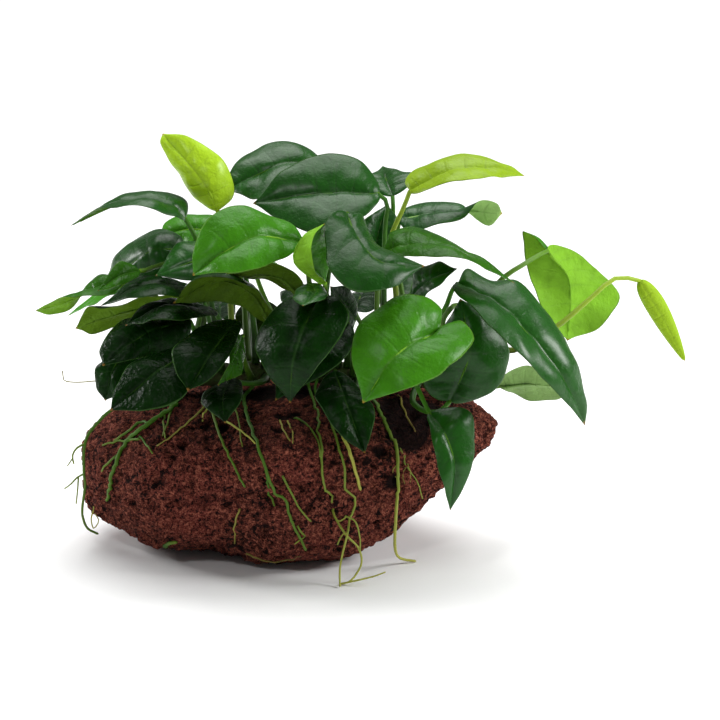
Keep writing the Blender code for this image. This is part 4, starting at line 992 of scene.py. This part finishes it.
# How thick each fine root is, how ripe at its start, and where it runs.
FINE_ROOTS = [
    (0.45, 0.2, [(-82, 37, -21), (-85.5, 35, -22), (-87, 32, -22), (-86.5, 29, -22)]),
    (0.4, 0.2, [(-82, 25, -22), (-85, 23.5, -22), (-88, 20.5, -23), (-90, 19, -23)]),
    (0.35, 0.3, [(-84.6, 23.8, -21.9), (-85, 18, -23), (-85.5, 13, -23)]),
    (0.3, 0.3, [(-87, 31, -22), (-89, 28, -23)]),
    (0.3, 1.2, [(-78, 11.8, -19), (-79.5, 7, -20), (-78.5, 3, -19), (-76.5, 6, -19), (-78, 9, -20)]),
    (0.35, 0.4, [(22, 8, -57), (26, 6, -58), (28, -1, -57), (28, -6, -55)]),
    (0.3, 0.5, [(18.4, 6.5, -57), (20, 6, -58), (22.7, 7.8, -57.2)]),
    (0.3, 0.5, [(19, -3.5, -57), (20, -1, -57), (21.9, 1.6, -56.1)]),
    (0.4, 0.9, [(20, -19.2, -57), (23.5, -18.5, -57.5), (34, -16, -58), (38, -14.5, -58)]),
    (0.35, 1.7, [(-17.6, -6.8), (-11, -9.5), (-6, -10.4), (4, -8)]),
    (0.6, 0.0, [(-56, 45), (-60, 45), (-63, 43), (-70, 38)]),
    (0.5, 0.1, [(-60, 39), (-66, 38), (-72, 37), (-75, 36)]),
    (0.5, 0.1, [(-69, 32), (-74, 28), (-75, 26)]),
    (0.45, 0.0, [(-60, 40), (-57, 36), (-55, 33)]),
    (0.45, 0.1, [(-50, 50), (-50, 39)]),
    (0.4, 0.1, [(-47, 52), (-49, 45), (-51, 40)]),
    (0.4, 1.4, [(-34, 52), (-40, 46), (-47, 40), (-53, 36)]),
    (0.45, 0.8, [(-31, 49), (-24, 45), (-17, 40), (-14, 37)]),
    (0.4, 0.8, [(-33, 51), (-35, 46)]),
    (0.35, 0.2, [(-22, 52), (-20, 42), (-19, 36)]),
    (0.5, 0.0, [(-9, 24), (-7, 14), (-6, 12)]),
    (0.45, 0.2, [(-3, 24), (0, 18), (5, 9), (8, 6)]),
    (0.4, 0.3, [(3, 4), (6, 0), (2, -3)]),
    (0.4, 1.5, [(-20, 11), (-22, 4), (-22, -3)]),
    (0.4, 0.1, [(2, 47), (6, 45), (10, 40), (12, 32)]),
    (0.35, 1.3, [(-4, 46), (-2, 41), (0, 38)]),
    (0.35, 1.3, [(-1, 46), (1, 41), (1, 37)]),
    (0.3, 0.3, [(44, 35), (46, 29), (51, 21), (53, 15)]),
    (0.2, 1.5, [(44, 34), (46, 29), (45, 24), (46, 21)]),
    (0.2, 1.3, [(43, 30), (41, 26), (43, 23)]),
    (0.2, 1.4, [(47, 29), (48, 25), (47, 20)]),
    (0.45, 1.7, [(43, 56), (46, 49), (50, 42)]),
    (0.9, 0.0, [(-50, -3.6), (-47.5, -2.4), (-45.6, -2.2)]),
    (0.3, 1.4, [(-41, 65.5, 0.5), (-60, 64, 7), (-78, 62, 4), (-90, 62, 2), (-91, 66, 2)])]


def on_stone(across, up):
    """The point of the stone that the front view shows at (across, up)."""
    seen = place(across, up, SHOWN_FROM)
    line_of_sight = place(across, up, SHOWN_TO) - seen
    return stone_surface.ray_cast(seen, line_of_sight.normalized())[0]


def run(places):
    """The points that a root runs through."""
    return [place(*spot) if len(spot) == 3 else on_stone(*spot) for spot in places]


def clear_of_stone(point, clear):
    """The point, pushed off the stone where it is nearer than clear or inside."""
    nearest, normal, _, distance = stone_surface.find_nearest(point)
    inside = (point - nearest).dot(normal) < 0
    if inside or distance < clear:
        return nearest + normal * clear
    return point


def root_rings(radius, path):
    """The rings of a root, which feels its way over the stone."""
    count = max(ROOT_RINGS_LEAST, round(path.length / ROOT_RING_SPACING))
    rings = []
    side = Vector((1, 0, 0))
    for i in range(count + 1):
        along = i / count
        middle, direction = path.at(along), path.slope(along)
        wobble = noise.noise_vector(middle / ROOT_WOBBLE_SIZE) * ROOT_WOBBLE * radius
        middle = middle + wobble * min(1, ROOT_WOBBLE_GROWTH * along)
        middle = clear_of_stone(middle, radius * ROOT_GRIP)
        side = square_to(side, direction)
        thickness = radius * (1 - ROOT_TAPER * along)
        thickness *= 1 + ROOT_KNOBS * noise.noise(middle / ROOT_KNOB_SIZE)
        rings.append(round_ring(middle, side, direction, thickness, ROOT_SIDES))
    return rings, middle + direction * radius


def root_finish():
    """Green, and yellow to brown where a root is growing or old."""
    paint = Paint("root", {"Roughness": 0.5, "Specular IOR Level": 0.25})
    ripe = paint.attribute("ripe")
    patches = paint.step(paint.grain(size=5, detail=2), off=0.55, on=0.8)
    relief = paint.grain(size=0.8, detail=2)
    body = paint.mix(ripe, ROOT_GREEN, ROOT_YELLOW)
    body = paint.mix(ripe - 1 + patches * 0.3, body, ROOT_BROWN)
    return paint.finish(Base_Color=body, Normal=paint.bump(relief, distance=0.15))


root_skin = root_finish()


def grow_root(name, radius, points, start, ripe):
    """One root through its points, with how ripe it is at its start and at its end."""
    rings, tip = root_rings(radius, Path(points, start))
    piece = join(name, *skin(rings, None, tip), [root_skin])
    count = len(piece.data.vertices)
    share = [min(1, i // ROOT_SIDES / (len(rings) - 1)) for i in range(count)]
    carry(piece, "ripe", [ripe[0] + (ripe[1] - ripe[0]) * s ** ROOT_RIPENING for s in share])
    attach(piece, "root")
    return piece


for i, (radius, ripe, crown, places) in enumerate(ROOTS):
    foot, away = crown_point((*crown, ROOT_ANGLE))
    name = f"root_{i + 1:02d}"
    piece = grow_root("thick_" + name, radius, [foot, *run(places)], away, ripe)
    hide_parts(name)
for i, (radius, ripe, places) in enumerate(FINE_ROOTS):
    ripe = (ripe, ripe + FINE_ROOT_RIPENING)
    grow_root(f"fine_root_{i + 1:02d}", radius, run(places), None, ripe)

# ---- The floor and the light -----------------------------------------------------------------
# A plain pale floor, an even soft light from above and behind, a soft lamp at each side, and a
# dim surrounding, so that the leaves shine where they face up or aside and are dark in front.

FLOOR_SIZE = 30000             # in millimetres
FLOOR_WHITE = (0.95, 0.95, 0.95, 1)
SURROUND = 0.16                # how strong the surrounding is, and the daylight
DAYLIGHT = 3.1
DAYLIGHT_ANGLE = 55            # the width of the sky patch that it comes from, in degrees
DAYLIGHT_BEHIND = 22           # how far behind straight above it comes from
LIGHTS_AIM = (0, 0, 0.07)
LIGHTS = [
    # place in metres, size, power in watts
    ((-1.0, 0.35, 0.5), 0.3, 6),
    ((1.0, -0.1, 0.6), 0.4, 10),
    ((-0.3, -0.9, 0.9), 0.12, 2)]

corners = [Vector((across, back, 0)) * FLOOR_SIZE / 2
           for across, back in ((-1, -1), (1, -1), (1, 1), (-1, 1))]
floor_paint = Paint("floor", {"Base Color": FLOOR_WHITE, "Roughness": 0.9})
floor = join("floor", corners, [(0, 1, 2, 3)], [floor_paint.material])

for spot, size, power in LIGHTS:
    lamp = add("soft light", bpy.data.lights.new("soft light", "AREA"))
    lamp.data.shape = "DISK"
    lamp.data.size = size
    lamp.data.energy = power
    lamp.location = spot
    lamp.rotation_euler = (Vector(LIGHTS_AIM) - Vector(spot)).to_track_quat("-Z", "Y").to_euler()

daylight = add("daylight", bpy.data.lights.new("daylight", "SUN"))
daylight.data.energy = DAYLIGHT
daylight.data.angle = math.radians(DAYLIGHT_ANGLE)
daylight.rotation_euler = (-math.radians(DAYLIGHT_BEHIND), 0, 0)

surround = bpy.data.worlds.new("surround")
surround.use_nodes = True
background = surround.node_tree.nodes["Background"]
background.inputs["Color"].default_value = (1, 1, 1, 1)
background.inputs["Strength"].default_value = SURROUND
bpy.context.scene.world = surround
bpy.context.scene.view_settings.view_transform = "Standard"
